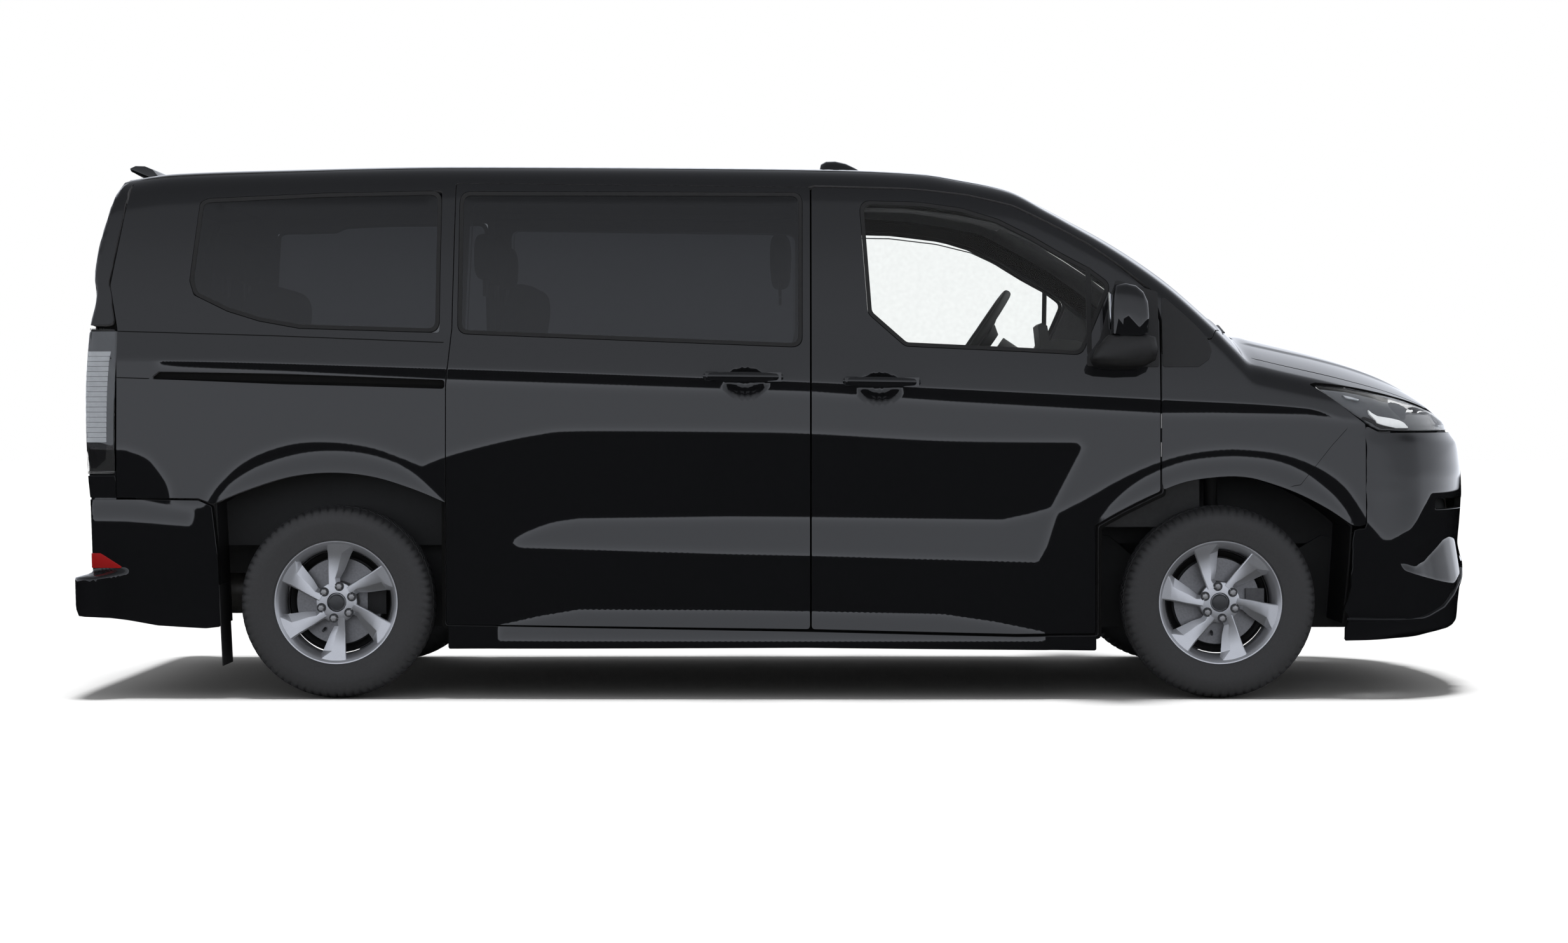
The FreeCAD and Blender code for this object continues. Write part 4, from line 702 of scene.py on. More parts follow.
quarter_window = [(-2.065, 1.747), (-2.092, 1.469), (-2.075, 1.418), (-1.956, 1.36), (-1.843, 1.325),
                  (-1.7, 1.299), (-1.208, 1.284), (-1.208, 1.789), (-1.623, 1.781), (-2.037, 1.762)]
rail_slot = [(-2.192, 1.147), (-2.222, 1.1225), (-2.076, 1.1175), (-1.753, 1.104), (-1.511, 1.098),
             (-1.189, 1.088), (-1.189, 1.1175), (-1.511, 1.13), (-1.753, 1.139)]
roof_gap_y = 0.763

side_outline = side_line([(-1.177, 0.176)] + arch_rear[::-1]
                         + [(-2.052, 0.703), (-2.341, 0.706), (-2.341, 1.299),
                         (-2.371, 1.453), (-2.319, 1.766), (-2.31, 1.82)])
side_outline += plan_line([(-2.31, roof_gap_y), (-1.5, roof_gap_y), (-0.5, roof_gap_y), (0.5, roof_gap_y),
                           (0.872, 0.745), (0.887, 0.657), (1.05, 0.691), (1.25, 0.732), (1.45, 0.773),
                           (1.6, 0.806)])
side_outline += side_line([(1.6, 1.29), (1.6565, 1.282), (1.502, 1.267), (1.322, 1.217), (1.322, 0.735),
                           (1.298, 0.721), (1.188, 0.666), (1.09, 0.611), (1.094, 0.171), (0.08, 0.181)])
side_work = Sheetwork()
panel(side_work, on_side, side_outline,
      holes=[grown(side_line(both_doors), gap / 2), side_line(quarter_window), side_line(rail_slot)],
      finishes=lined, far=0.024, corner=0.008, hole_corner=0.012, close_rows=crease_rows,
      spacing=side_spacing)
both_sides("body_side", side_work, [black_paint, grey_lining], ("body", "body"), ("body_side",))

# The pillar between the doors and the door steps. A folded steel frame set back behind the door gaps, painted
# with the body.
frame_depth = 0.03
frame_work = Sheetwork()
frame_holes = [side_line([(0.045, 0.33), (0.045, 1.745), (-1.11, 1.76), (-1.13, 1.1), (-1.13, 0.33)]),
               side_line([(0.145, 0.32), (0.145, 1.745), (0.43, 1.738), (0.62, 1.715), (0.77, 1.68),
                          (0.9, 1.622),
                          (1.03, 1.55), (1.15, 1.47), (1.265, 1.375), (1.265, 0.8), (1.04, 0.7),
                          (1.04, 0.32)])]
panel(frame_work, on_side, grown(side_line(both_doors), 0.018), frame_holes, near=frame_depth, far=0.05,
      corner=0.02, rim_step=0.025, spacing=(0.05, 0.05))
both_sides("door_frame", frame_work, [matt_black_and_seam_shade], ("body", "body"), ())


# The front doors. A pressed steel skin hemmed round an inner panel, sprayed gloss black, with a soft
# grained trim inside, a rubber line under the glass and a bow handle over a pressed finger bowl.
class Shape:
    # Builds one piece out of blocks, prisms, turned parts and swept bars.
    def __init__(self):
        self.mesh = bmesh.new()

    def close(self, first, edge, finish, steps=2):
        faces = self.mesh.faces[:][first:]
        for face in faces:
            face.material_index = finish
        if edge:
            edges = list(dict.fromkeys(e for face in faces for e in face.edges))
            made = bmesh.ops.bevel(self.mesh, geom=edges, offset=edge, segments=steps, profile=0.6,
                                   affect="EDGES", clamp_overlap=True)
            for face in made["faces"]:
                face.material_index = finish
        return self

    def prism(self, outline, axis, low, high, edge=0.0, finish=0):
        # The outline lies square to the axis: (y, z) for x, (x, z) for y and (x, y) for z.
        first = len(self.mesh.faces)
        ends = []
        for level in (low, high):
            places = {"x": [(level, a, b) for a, b in outline], "y": [(a, level, b) for a, b in outline],
                      "z": [(a, b, level) for a, b in outline]}[axis]
            ends.append([self.mesh.verts.new(place) for place in places])
        count = len(outline)
        self.mesh.faces.new(ends[0][::-1])
        self.mesh.faces.new(ends[1])
        for k in range(count):
            n = (k + 1) % count
            self.mesh.faces.new((ends[0][k], ends[0][n], ends[1][n], ends[1][k]))
        return self.close(first, edge, finish)

    def block(self, low, high, edge=0.0, finish=0):
        (x0, y0, z0), (x1, y1, z1) = low, high
        return self.prism(oblong(x0, x1, y0, y1), "z", z0, z1, edge, finish)

    def turned(self, centre, axis, profile, sides=32, finish=0, start=0.0):
        # A profile of (along the axis, radius) spun about the axis; a radius of zero closes an end.
        first = len(self.mesh.faces)
        axis = Vector(axis).normalized()
        across = axis.orthogonal().normalized()
        other = axis.cross(across)
        rings = []
        for reach, radius in profile:
            if radius == 0:
                rings.append([self.mesh.verts.new(Vector(centre) + axis * reach)])
                continue
            rings.append([self.mesh.verts.new(Vector(centre) + axis * reach
                                              + (across * math.cos(start + 2 * math.pi * k / sides)
                                                 + other * math.sin(start
                                                                    + 2 * math.pi * k / sides)) * radius)
                          for k in range(sides)])
        for a, b in zip(rings, rings[1:]):
            for k in range(sides):
                n = (k + 1) % sides
                ring = [a[k % len(a)], a[n % len(a)], b[n % len(b)], b[k % len(b)]]
                ring = [v for j, v in enumerate(ring) if v not in ring[:j]]
                if len(ring) > 2:
                    self.mesh.faces.new(ring)
        return self.close(first, 0.0, finish)

    def swept(self, path, section, up, finish=0, closed=False, scales=None):
        # A section carried along a path; its second direction stays as near to up as it can.
        first = len(self.mesh.faces)
        path = [Vector(p) for p in path]
        rings = []
        count = len(path)
        for k, here in enumerate(path):
            before = path[k - 1] if k or closed else here
            after = path[(k + 1) % count] if k < count - 1 or closed else here
            ahead = (after - before).normalized()
            side = ahead.cross(Vector(up)).normalized()
            rise = side.cross(ahead)
            size = scales[k] if scales else 1.0
            rings.append([self.mesh.verts.new(here + (side * a + rise * b) * size) for a, b in section])
        around = len(section)
        for k in range(count if closed else count - 1):
            a, b = rings[k], rings[(k + 1) % count]
            for j in range(around):
                n = (j + 1) % around
                self.mesh.faces.new((a[j], a[n], b[n], b[j]))
        if not closed:
            self.mesh.faces.new(rings[0][::-1])
            self.mesh.faces.new(rings[-1])
        return self.close(first, 0.0, finish)

    def done(self, name, materials, body, nodes=(), slot=None, left=False, sharp=35):
        copy = self.mesh.copy()
        if left:
            bmesh.ops.scale(copy, vec=(1, -1, 1), verts=copy.verts)
        bmesh.ops.recalc_face_normals(copy, faces=copy.faces)
        mesh = bpy.data.meshes.new(name)
        copy.to_mesh(mesh)
        copy.free()
        mesh.polygons.foreach_set("use_smooth", np.ones(len(mesh.polygons), bool))
        mesh.set_sharp_from_angle(angle=math.radians(sharp))
        return placed(name, mesh, materials, body, nodes)

    def pair(self, name, materials, bodies, nodes=(), slot=None, sharp=35, hands=right_first):
        for hand, body in zip(hands, bodies):
            own_nodes = [node + "_" + hand for node in nodes]
            self.done(name + "_" + hand, materials, body, own_nodes, slot, hand != hands[0], sharp)


def oval(wide, high, count=12):
    return [(wide * math.cos(2 * math.pi * k / count), high * math.sin(2 * math.pi * k / count))
            for k in range(count)]


def skin_y(x, z):
    return -float(width_at(x, z))


def handle(name, back, front, level, fall, bodies):
    # A bow handle on two feet, over a shallow bowl.
    bar = Shape()
    length = front - back
    path, scales = [], []
    for k in range(13):
        t = k / 12
        x = back + length * t
        stand = 0.034 * (1 - abs(2 * t - 1) ** 4) + 0.004
        z = level - fall * t
        path.append((x, skin_y(x, z) - stand, z))
        scales.append(0.55 + 0.45 * (1 - abs(2 * t - 1) ** 3))
    bar.swept(path, oval(0.01, 0.0165, 14), (0, 0, 1), scales=scales)
    for t in (0.1, 0.9):
        x = back + length * t
        y = skin_y(x, level)
        foot_z = level - fall * t
        bar.prism(oblong(x - 0.024, x + 0.024, foot_z - 0.016, foot_z + 0.016), "y", y + 0.01, y - 0.022,
                  0.005)
    bar.pair(name, [black_paint], bodies, (), "black_paint")


door_bodies = ("door_right", "door_left")
fixed = ("body", "body")


def bowl_dip(middle_x, middle_z, long, tall, depth):
    def dip(x, z):
        share = np.clip(1 - ((x - middle_x) / long) ** 2 - ((z - middle_z) / tall) ** 2, 0, 1)
        return depth * share * share * (3 - 2 * share)
    return dip


def dished(dip):
    # The side surface with a pressed bowl in it.
    def surface(x, run):
        point = on_side(x, run)
        point[..., 1] += dip(point[..., 0], point[..., 2])
        return point
    return surface


front_surface = dished(bowl_dip(0.335, 1.092, 0.085, 0.05, 0.016))
slide_surface = dished(bowl_dip(-0.135, 1.11, 0.085, 0.05, 0.016))
door_work = Sheetwork()
panel(door_work, front_surface, side_line(front_door_outline), [side_line(front_window)], finishes=lined,
      far=skin_depth, corner=0.012,
      spacing=side_spacing, close_rows=crease_rows)
both_sides("front_door", door_work, [black_paint, grey_lining], door_bodies, ("front_door",))
trim_work = Sheetwork()
trim_outline = [(0.15, 0.35), (0.15, 1.73), (0.43, 1.725), (0.62, 1.702), (0.76, 1.668), (0.89, 1.61),
                (1.02, 1.54),
                (1.14, 1.46), (1.22, 1.395), (1.25, 1.3), (1.25, 0.82), (1.03, 0.71), (1.02, 0.34)]
panel(trim_work, on_side, side_line(trim_outline), [grown(side_line(front_window), 0.008)], near=trim_near,
      far=trim_far,
      corner=0.03, rim_step=0.025, spacing=(0.06, 0.06))
both_sides("front_door_trim", trim_work, [grey_lining], door_bodies, ())
handle("front_handle", 0.209, 0.474, 1.114, 0.004, door_bodies)

# The sliding doors. Built like the front doors, with one long window.
slide_work = Sheetwork()
panel(slide_work, slide_surface, side_line(slide_door_outline), [side_line(slide_window)], finishes=lined,
      far=skin_depth, corner=0.012,
      spacing=side_spacing, close_rows=crease_rows)
both_sides("sliding_door", slide_work, [black_paint, grey_lining], fixed, ("sliding_door",))
slide_trim = Sheetwork()
panel(slide_trim, on_side, side_line([(0.04, 0.34), (0.04, 1.74), (-1.1, 1.755), (-1.12, 1.1),
                                      (-1.12, 0.34)]),
      [grown(side_line(slide_window), -0.004)], near=trim_near, far=trim_far, corner=0.03, rim_step=0.025,
      spacing=(0.06, 0.06))
both_sides("sliding_door_trim", slide_trim, [grey_lining], fixed, ())
handle("slide_handle", -0.28, -0.006, 1.131, 0.003, fixed)

# The rear slide rails. A dark channel let into the side panel, where the sliding door's arm runs.
rail_work = Sheetwork()
panel(rail_work, on_side, grown(side_line(rail_slot), 0.006), near=0.018, far=0.036, corner=0.004,
      spacing=(0.05, 0.01), edge=0.001)
both_sides("slide_rail", rail_work, [matt_black_and_seam_shade], fixed, ())
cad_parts["slide_rails"].data.materials[0] = matt_black_and_seam_shade

# The front wings. Thin steel panels screwed on ahead of the doors, rolled out round the wheel arch.
wing_outline = side_line([(1.322, 0.737), (1.322, 1.2135), (1.502, 1.263), (1.663, 1.277)])
wing_outline += plan_line([(1.663, 0.806), (2.02, 0.806), (2.13, 0.785), (2.222, 0.757), (2.3, 0.706)])
wing_outline += side_line([(2.295, 1.02), (2.156, 1.0625), (1.98, 1.0975), (1.862, 1.11), (1.84, 1.104),
                           (2.0345, 0.963), (2.0345, 0.607), (1.999, 0.607)])
wing_outline += side_line([(x, z) for x, z in arch_front[::-1] if 1.33 < x < 1.985])
wing_work = Sheetwork()
panel(wing_work, on_side, wing_outline, finishes=lined, far=0.02, corner=0.006, spacing=side_spacing,
      close_rows=crease_rows)
both_sides("wing", wing_work, [black_paint, matt_black_and_seam_shade], fixed, ("wing",))

# The roof. One large steel pressing with shallow lengthways ribs that stiffen it, spot welded along
# both gutters and painted black, with the plastic cover of the aerial near its front.
roof_reach = 0.757
rib_pitch = 0.16


def ribbed_roof(x, y):
    point = on_top(x, y)
    inside = eased((0.7 - np.abs(y)) / 0.06) * eased((0.62 - x) / 0.08) * eased((x + 2.16) / 0.08)
    wave = np.clip(np.cos(y / rib_pitch * 2 * math.pi) * 1.6, -1, 1)
    point[..., 2] -= 0.0035 * inside * (1 - wave) / 2
    return point


def both_ways(half, ahead=(), behind=()):
    # A whole plan outline from its left half, given from the rear to the front.
    return [(x, -y) for x, y in half] + list(ahead) + half[::-1] + list(behind)


roof_outline = both_ways([(-2.303, roof_reach), (0.5, roof_reach), (0.868, 0.739), (0.884, 0.65)])
roof_work = Sheetwork()
panel(roof_work, ribbed_roof, roof_outline, finishes=lined, far=skin_depth, corner=0.03, spacing=(0.05, 0.02),
      rim_step=0.02)
make_piece("roof", roof_work, [black_paint, grey_lining], "body", ("roof",))
pod = Shape()
pod_rings = [(0.312, 0.002, 0.0), (0.3, 0.02, 0.012), (0.27, 0.03, 0.03), (0.235, 0.036, 0.047),
             (0.195, 0.037, 0.056), (0.16, 0.036, 0.055), (0.14, 0.03, 0.044), (0.133, 0.016, 0.012)]
roof_z = float(on_top(0.22, 0.0)[2])
pod.swept([(x, 0, roof_z - 0.004) for x, _, _ in pod_rings], [(-1, 0), (-0.9, 0.5), (-0.55, 0.88), (0, 1.0),
          (0.55, 0.88), (0.9, 0.5), (1, 0)], (0, 0, 1))
for ring, (x, wide, high) in enumerate(pod_rings):
    for v in pod.mesh.verts[:][ring * 7:ring * 7 + 7]:
        v.co.y *= wide
        v.co.z = roof_z - 0.004 + (v.co.z - roof_z + 0.004) * (high + 0.004)
pod.done("roof_pod", [black_paint], "body", ("roof_pod",), "black_paint", sharp=60)

# The bonnet. A steel lid on two hinges under its rear edge, pressed with a raised centre panel that
# fades out towards the lip, and sprayed gloss black.
bonnet_lip_z = 0.995


def bonnet_front(y, gap_x):
    # The bonnet ends at its lip height, or at the lamp's gap if that comes first.
    line = np.linspace(2.15, 2.46, 200)
    heights_there = on_top(line, np.full(200, y))[:, 2]
    return min(float(np.interp(-bonnet_lip_z, -heights_there, line)), gap_x), y


bonnet_half = [(1.659, 0.0), (1.659, 0.4), (1.659, 0.797), (2.02, 0.797), (2.13, 0.777), (2.222, 0.748),
               (2.29, 0.708)]
bonnet_half += [bonnet_front(y, x) for y, x in ((0.66, 2.343), (0.57, 2.39), (0.48, 2.413), (0.25, 2.46),
                                                (0.0, 2.46))]


def raised_bonnet(x, y):
    point = on_top(x, y)
    edge_y = 0.52 + (1.659 - x) * 0.13
    inside = eased((edge_y - np.abs(y)) / 0.05) * eased((2.36 - x) / 0.2) * eased((x - 1.66) / 0.05)
    point[..., 2] += 0.006 * inside
    return point


bonnet_outline = bonnet_half[:-1] + [(x, -y) for x, y in bonnet_half[:0:-1]]
bonnet_work = Sheetwork()
panel(bonnet_work, raised_bonnet, bonnet_outline, finishes=lined, far=skin_depth, corner=0.01,
      spacing=(0.02, 0.02), rim_step=0.015)
make_piece("bonnet", bonnet_work, [black_paint, matt_black_and_seam_shade], "bonnet", ("bonnet",))


# The windscreen. Laminated glass, bonded all round to the roof and the pillars, with a black border
# printed on it that hides the glue.
def glass(name, colour, thin=1.45, strength=0.5):
    material = procedural(name, colour, 0.0, spread=0.02, rough_spread=0.0, Transmission_Weight=1.0, IOR=thin,
                          Specular_IOR_Level=strength)
    return material


clear_glass = glass("clear_glass", (0.955, 0.97, 0.965), 1.2, 0.5)
privacy_glass = glass("privacy_glass", (0.1, 0.105, 0.115), 1.47, 0.5)
printed_black = procedural("printed_black", (0.008, 0.008, 0.0085), 0.12)
screen_outline = both_ways([(0.893, 0.651), (1.05, 0.685), (1.25, 0.726), (1.45, 0.767), (1.595, 0.796),
                            (1.603, 0.7)], [(1.606, 0.0)], [(0.886, 0.0)])
screen_clear = both_ways([(0.945, 0.61), (1.05, 0.632), (1.25, 0.672), (1.45, 0.712), (1.555, 0.735)],
                         [(1.565, 0.0)], [(0.93, 0.0)])
border_work = Sheetwork()
panel(border_work, on_top, screen_outline, [screen_clear], near=0.0, far=0.0055, corner=0.03,
      spacing=(0.04, 0.04))
make_piece("windscreen_border", border_work, [printed_black], "body", ())
screen_work = Sheetwork()
panel(screen_work, on_top, screen_outline, near=0.0055, far=0.01, corner=0.03,
      spacing=(0.05, 0.05))
make_piece("windscreen", screen_work, [clear_glass], "body", ("windscreen",))

# The scuttle panel. A strip of grained black plastic, clipped in between the windscreen and the
# bonnet to carry rain off to the sides.
cowl_work = Sheetwork()
panel(cowl_work, on_top, [(1.609, -0.8), (1.652, -0.8), (1.652, 0.8), (1.609, 0.8), (1.612, 0.0)],
      near=0.006,
      far=0.03, corner=0.008, spacing=(0.02, 0.03))
make_piece("cowl_panel", cowl_work, [matt_black], "body", ("cowl_panel",))


# The side windows. Curved toughened glass in black rubber, clear in the front doors and tinted dark
# behind them, with an upright bar across the front windows.
def window(name, outline, material, bodies, nodes, ring=0.015, depth=0.0015, corner=0.04):
    ring_work = Sheetwork()
    inner = grown(side_line(outline), -ring)
    panel(ring_work, on_side, grown(side_line(outline), -0.001), [inner], near=depth - 0.002, far=depth
          + 0.012, corner=corner, hole_corner=corner * 0.7, edge=0.0015, spacing=(0.03, 0.02))
    both_sides(name + "_rubber", ring_work, [rubber], bodies, ())
    pane_work = Sheetwork()
    panel(pane_work, on_side, grown(side_line(outline), -ring * 0.7), near=depth, far=depth + 0.004,
          corner=corner * 0.7, edge=0.001, spacing=(0.05, 0.03))
    for hand, body in zip(("right", "left"), bodies):
        make_piece(name + "_" + hand, pane_work, [material], body,
                   [n + h for n, h in nodes if h in ("", "_" + hand)], hand == "left")


window("front_window", front_window, clear_glass, door_bodies,
       (("front_glass", "_right"), ("front_glass", "_left")))
window("slide_window", slide_window, privacy_glass, fixed, (("sliding_glass", ""),))
window("quarter_window", quarter_window, privacy_glass, fixed, (("quarter_glass", ""),))
divider = Sheetwork()
panel(divider, on_side, side_line([(1.06, 1.2), (1.078, 1.2), (1.078, 1.515), (1.06, 1.522)]),
      near=-0.001,
      far=0.014, corner=0.004, edge=0.002)
both_sides("window_divider", divider, [rubber], door_bodies, ())


# The front bumper. One large black moulding that wraps from arch to arch, with a lower intake, a
# recess for each fog lamp and a blank number plate.
wrap_step = 0.01


def closer(points):
    # The same open line with a point at least every few centimetres.
    line = [points[0]]
    for (a0, b0), (a1, b1) in zip(points, points[1:]):
        pieces = max(1, int(math.hypot(a1 - a0, b1 - b0) / 0.055)) if a0 * a1 >= 0 else 1
        line += [(a0 + (a1 - a0) * n / pieces, b0 + (b1 - b0) * n / pieces) for n in range(1, pieces + 1)]
    return line


class Wrap:
    # The front or rear face as a sheet, by the distance round it from the middle and the height.
    def __init__(self, line, depth, power, sense, softness, top):
        self.sense = sense
        self.spots = np.arange(0.0, 1.75, wrap_step)
        levels_here = np.arange(lowest, top, level_step)
        self.x_table = np.zeros((len(self.spots), len(levels_here)))
        self.y_table = np.zeros_like(self.x_table)
        turn = np.linspace(0, math.pi / 2, 300)
        for j, z in enumerate(levels_here):
            start = half_length * float(line(z / roof_height)) - sense * depth
            x = np.concatenate([start + sense * depth * np.cos(turn) ** (2 / power),
                                start - sense * np.linspace(0.01, 1.0, 60)])
            y = np.concatenate([plan_width * np.sin(turn) ** (2 / power), np.full(60, plan_width)])
            y = soft_least(read_table(plain_width, x, np.full(len(x), z), lowest, level_step), y, softness)
            y[0] = 0.0
            run = np.concatenate([[0.0], np.cumsum(np.hypot(np.diff(x), np.diff(y)))])
            self.x_table[:, j] = np.interp(self.spots, run, x)
            self.y_table[:, j] = np.interp(self.spots, run, y)

    def read(self, table, u, z):
        return read_grid(table, np.abs(u), 0.0, wrap_step, z, lowest, level_step)

    def __call__(self, u, z):
        y = self.read(self.y_table, u, z) * np.sign(u) * self.sense
        return np.stack([self.read(self.x_table, u, z), y, np.asarray(z, float)], -1)

    def outward(self, u, z):
        # The level direction square to the face.
        ahead = self(u + 0.01, z) - self(u - 0.01, z)
        ahead /= np.maximum(np.linalg.norm(ahead, axis=-1), 1e-9)[..., None]
        return np.cross(ahead, np.broadcast_to(np.array([0.0, 0.0, 1.0]), ahead.shape))

    def by_side(self, points):
        # Side view points (x, z), as (distance round the face, z).
        found = []
        for x, z in closer(points):
            xs = self.read(self.x_table, self.spots, np.full(len(self.spots), z)) * self.sense
            found.append((float(np.interp(-x * self.sense, -xs, self.spots)), z))
        return found

    def by_face(self, points):
        # Points seen from in front or behind (out from the middle, z).
        found = []
        for y, z in closer(points):
            ys = self.read(self.y_table, self.spots, np.full(len(self.spots), z))
            reach = float(np.interp(abs(y), np.maximum.accumulate(ys), self.spots))
            found.append((reach if y > 0 else -reach, z))
        return found


def mirrored_ends(half):
    # A whole outline from its right half, given from the bottom middle round to the top middle.
    return half + [(-u, z) for u, z in half[::-1]]


on_front = Wrap(nose_line, nose_depth, nose_power, 1, 0.05, 1.16)
bumper_half = on_front.by_face([(0.3, 0.212), (0.75, 0.21)])
bumper_half += on_front.by_side([(2.2, 0.207), (2.08, 0.206), (1.966, 0.205)]
                                + [(1.966, 0.205 + 0.004 * n) for n in range(1, 12)]
                                + [(1.972, 0.3), (1.984, 0.44), (1.996, 0.598), (2.0365, 0.599),
                                   (2.0365, 0.958), (2.086, 0.934)])
bumper_half += on_front.by_face([(0.8, 0.934), (0.407, 0.934), (0.407, 0.733)])
intake = on_front.by_face(oblong(-0.42, 0.42, 0.333, 0.498))
fog_recess = on_front.by_side([(2.285, 0.662), (2.285, 0.7)]) + on_front.by_face([(0.56, 0.7),
                                                                                    (0.56, 0.662)])


front_zones = [[(1.9, 1.3), (2.6, 1.3), (2.6, 0.714), (2.264, 0.714), (2.189, 0.59), (2.124, 0.552),
                (1.9, 0.552)],
               [(2.15, 0.478), (2.213, 0.458), (2.255, 0.478), (2.335, 0.553), (2.37, 0.564),
                (2.405, 0.557),
                (2.48, 0.487), (2.48, 0.44), (2.374, 0.39), (2.211, 0.433), (2.165, 0.448)]]
bumper_levels = np.arange(lowest, 1.16, level_step)
bumper_spots, bumper_heights = np.meshgrid(on_front.spots, bumper_levels, indexing="ij")
bumper_x = on_front(bumper_spots, bumper_heights)[..., 0]
bumper_zone = np.maximum.reduce([margin(zone, bumper_x, bumper_heights) for zone in front_zones])
bumper_lean = np.clip(bumper_zone / 0.012, -1, 1)
in_blade = (bumper_heights < 0.57) & (bumper_x > 2.145)
bumper_slope = np.where(bumper_lean > 0, np.where(in_blade, 0.16, 0.05), 0.09) * bumper_lean
steady_nose, steady_low, steady_high = 0.9885, 0.262, 0.775
corner_share = eased((bumper_x - 2.08) / 0.14) * eased((np.abs(bumper_spots) - 0.45) / 0.15)
bumper_relief = np.cumsum(bumper_slope[:, ::-1], axis=1)[:, ::-1] * level_step * corner_share
flattened = half_length * (steady_nose - nose_line(np.clip(bumper_heights, steady_low,
                                                           steady_high) / roof_height))
flattened = flattened * eased((bumper_x - 1.98) / 0.1) * eased((np.abs(bumper_spots) - 0.45) / 0.15)


def creased_bumper(u, z):
    # The corners carry their own facets; the middle keeps the profile of the nose.
    point = on_front(u, z)
    out = on_front.outward(u, z)
    relief = read_grid(bumper_relief, np.abs(u), 0.0, wrap_step, z, lowest, level_step)
    relief = relief + out[..., 0] * read_grid(flattened, np.abs(u), 0.0, wrap_step, z, lowest, level_step)
    return point + out * relief[..., None]


bumper_work = Sheetwork()
panel(bumper_work, creased_bumper, mirrored_ends(bumper_half),
      [intake, fog_recess, [(-u, z) for u, z in fog_recess]], finishes=lined, far=skin_depth, corner=0.006,
      hole_corner=0.03,
      spacing=(0.014, 0.008))
make_piece("front_bumper", bumper_work, [black_paint, matt_black_and_seam_shade], "body", ("front_bumper",))
backing = Sheetwork()
for shape in (intake, fog_recess, [(-u, z) for u, z in fog_recess]):
    panel(backing, on_front, grown(shape, 0.012), near=0.045, far=0.06, corner=0.02, edge=0.001,
          spacing=(0.04, 0.04))
make_piece("intake_backing", backing, [matt_black_and_seam_shade], "body", ())
bars = Sheetwork()
bar_count, bar_first, bar_pitch = 5, 0.35, 0.0325
for row in range(bar_count):
    level = bar_first + row * bar_pitch
    panel(bars, on_front, on_front.by_face(oblong(-0.425, 0.425, level - 0.005, level + 0.005)),
          near=0.016, far=0.045, corner=0.002, edge=0.002, spacing=(0.05, 0.02))
post_pitch, posts_each_side = 0.062, 6
for column in range(-posts_each_side, posts_each_side + 1):
    place = column * post_pitch
    panel(bars, on_front, on_front.by_face(oblong(place - 0.004, place + 0.004, 0.33, 0.5)),
          near=0.02, far=0.045, corner=0.001, edge=0.001, spacing=(0.05, 0.05))
make_piece("intake_bars", bars, [matt_black], "body", ())

# The grille. Five black slats in a gloss black frame between the headlamps, moulded in one and
# clipped to the bumper, with a dark panel behind them.
grille_frame = on_front.by_face([(-0.398, 0.74), (0.398, 0.74), (0.398, 0.955), (0.36, 0.984),
                                 (-0.36, 0.984), (-0.398, 0.955)])
grille_hole = on_front.by_face([(-0.372, 0.762), (0.372, 0.762), (0.372, 0.945), (0.345, 0.965),
                                (-0.345, 0.965), (-0.372, 0.945)])
grille_work = Sheetwork()
panel(grille_work, on_front, grille_frame, [grille_hole], far=0.03, corner=0.02, hole_corner=0.015)
panel(grille_work, on_front, grown(grille_hole, 0.004), near=0.045, far=0.055, corner=0.02, finishes=(1, 1),
      spacing=(0.05, 0.05))
slat_count, slat_first, slat_pitch = 5, 0.785, 0.038
for row in range(slat_count):
    level = slat_first + row * slat_pitch
    panel(grille_work, on_front, on_front.by_face(oblong(-0.374, 0.374, level - 0.009, level + 0.009)),
          near=0.006, far=0.042, corner=0.003, edge=0.004, spacing=(0.05, 0.01))
make_piece("grille", grille_work, [black_paint, matt_black_and_seam_shade], "body", ("grille",))

# The headlamps. A clear cover bonded over a dark housing, with a bright blade-shaped running light,
# two silver projector cups and slim ribbed strips at either end.
lamp_lens = glass("lamp_lens", (0.93, 0.94, 0.95), 1.25, 0.5)
lamp_white = procedural("lamp_white", (0.86, 0.88, 0.9), 0.25, spread=0.03)
lamp_grey = procedural("lamp_grey", (0.1, 0.105, 0.115), 0.6, spread=0.05, Specular_IOR_Level=0.1)
lamp_black = procedural("lamp_black", (0.007, 0.007, 0.008), 0.6, Specular_IOR_Level=0.08)
mirror_silver = procedural("mirror_silver", (0.42, 0.43, 0.45), 0.1, metallic=1.0, spread=0.03)
cup_silver = procedural("cup_silver", (0.1, 0.105, 0.115), 0.45, metallic=0.5, spread=0.03)
gloss_black = procedural("gloss_black", (0.01, 0.01, 0.011), 0.08)
lamp_outline = on_front.by_side([(1.853, 1.103), (2.037, 0.9685), (2.089, 0.943)])
lamp_outline += on_front.by_face([(0.78, 0.942), (0.424, 0.942), (0.424, 0.986), (0.6, 0.99)])
lamp_outline += on_front.by_side([(2.347, 0.997), (2.156, 1.055), (1.98, 1.0905)])
lens_work = Sheetwork()
panel(lens_work, on_front, lamp_outline, near=0.0, far=0.0035, corner=0.012, edge=0.001,
      spacing=(0.012, 0.008))
both_sides("headlamp_lens", lens_work, [lamp_lens], fixed, (), left_first)
housing_work = Sheetwork()
panel(housing_work, on_front, grown(lamp_outline, -0.0005), near=0.018, far=0.05, corner=0.012,
      finishes=(2, 2),
      spacing=(0.015, 0.012))
panel(housing_work, on_front, on_front.by_side([(2.02, 0.985), (2.095, 0.949), (2.205, 0.947), (2.205, 0.958),
                                                (2.1, 0.962), (2.03, 0.992)]),
      near=0.012, far=0.03, corner=0.002, finishes=(1, 1), spacing=(0.02, 0.01))
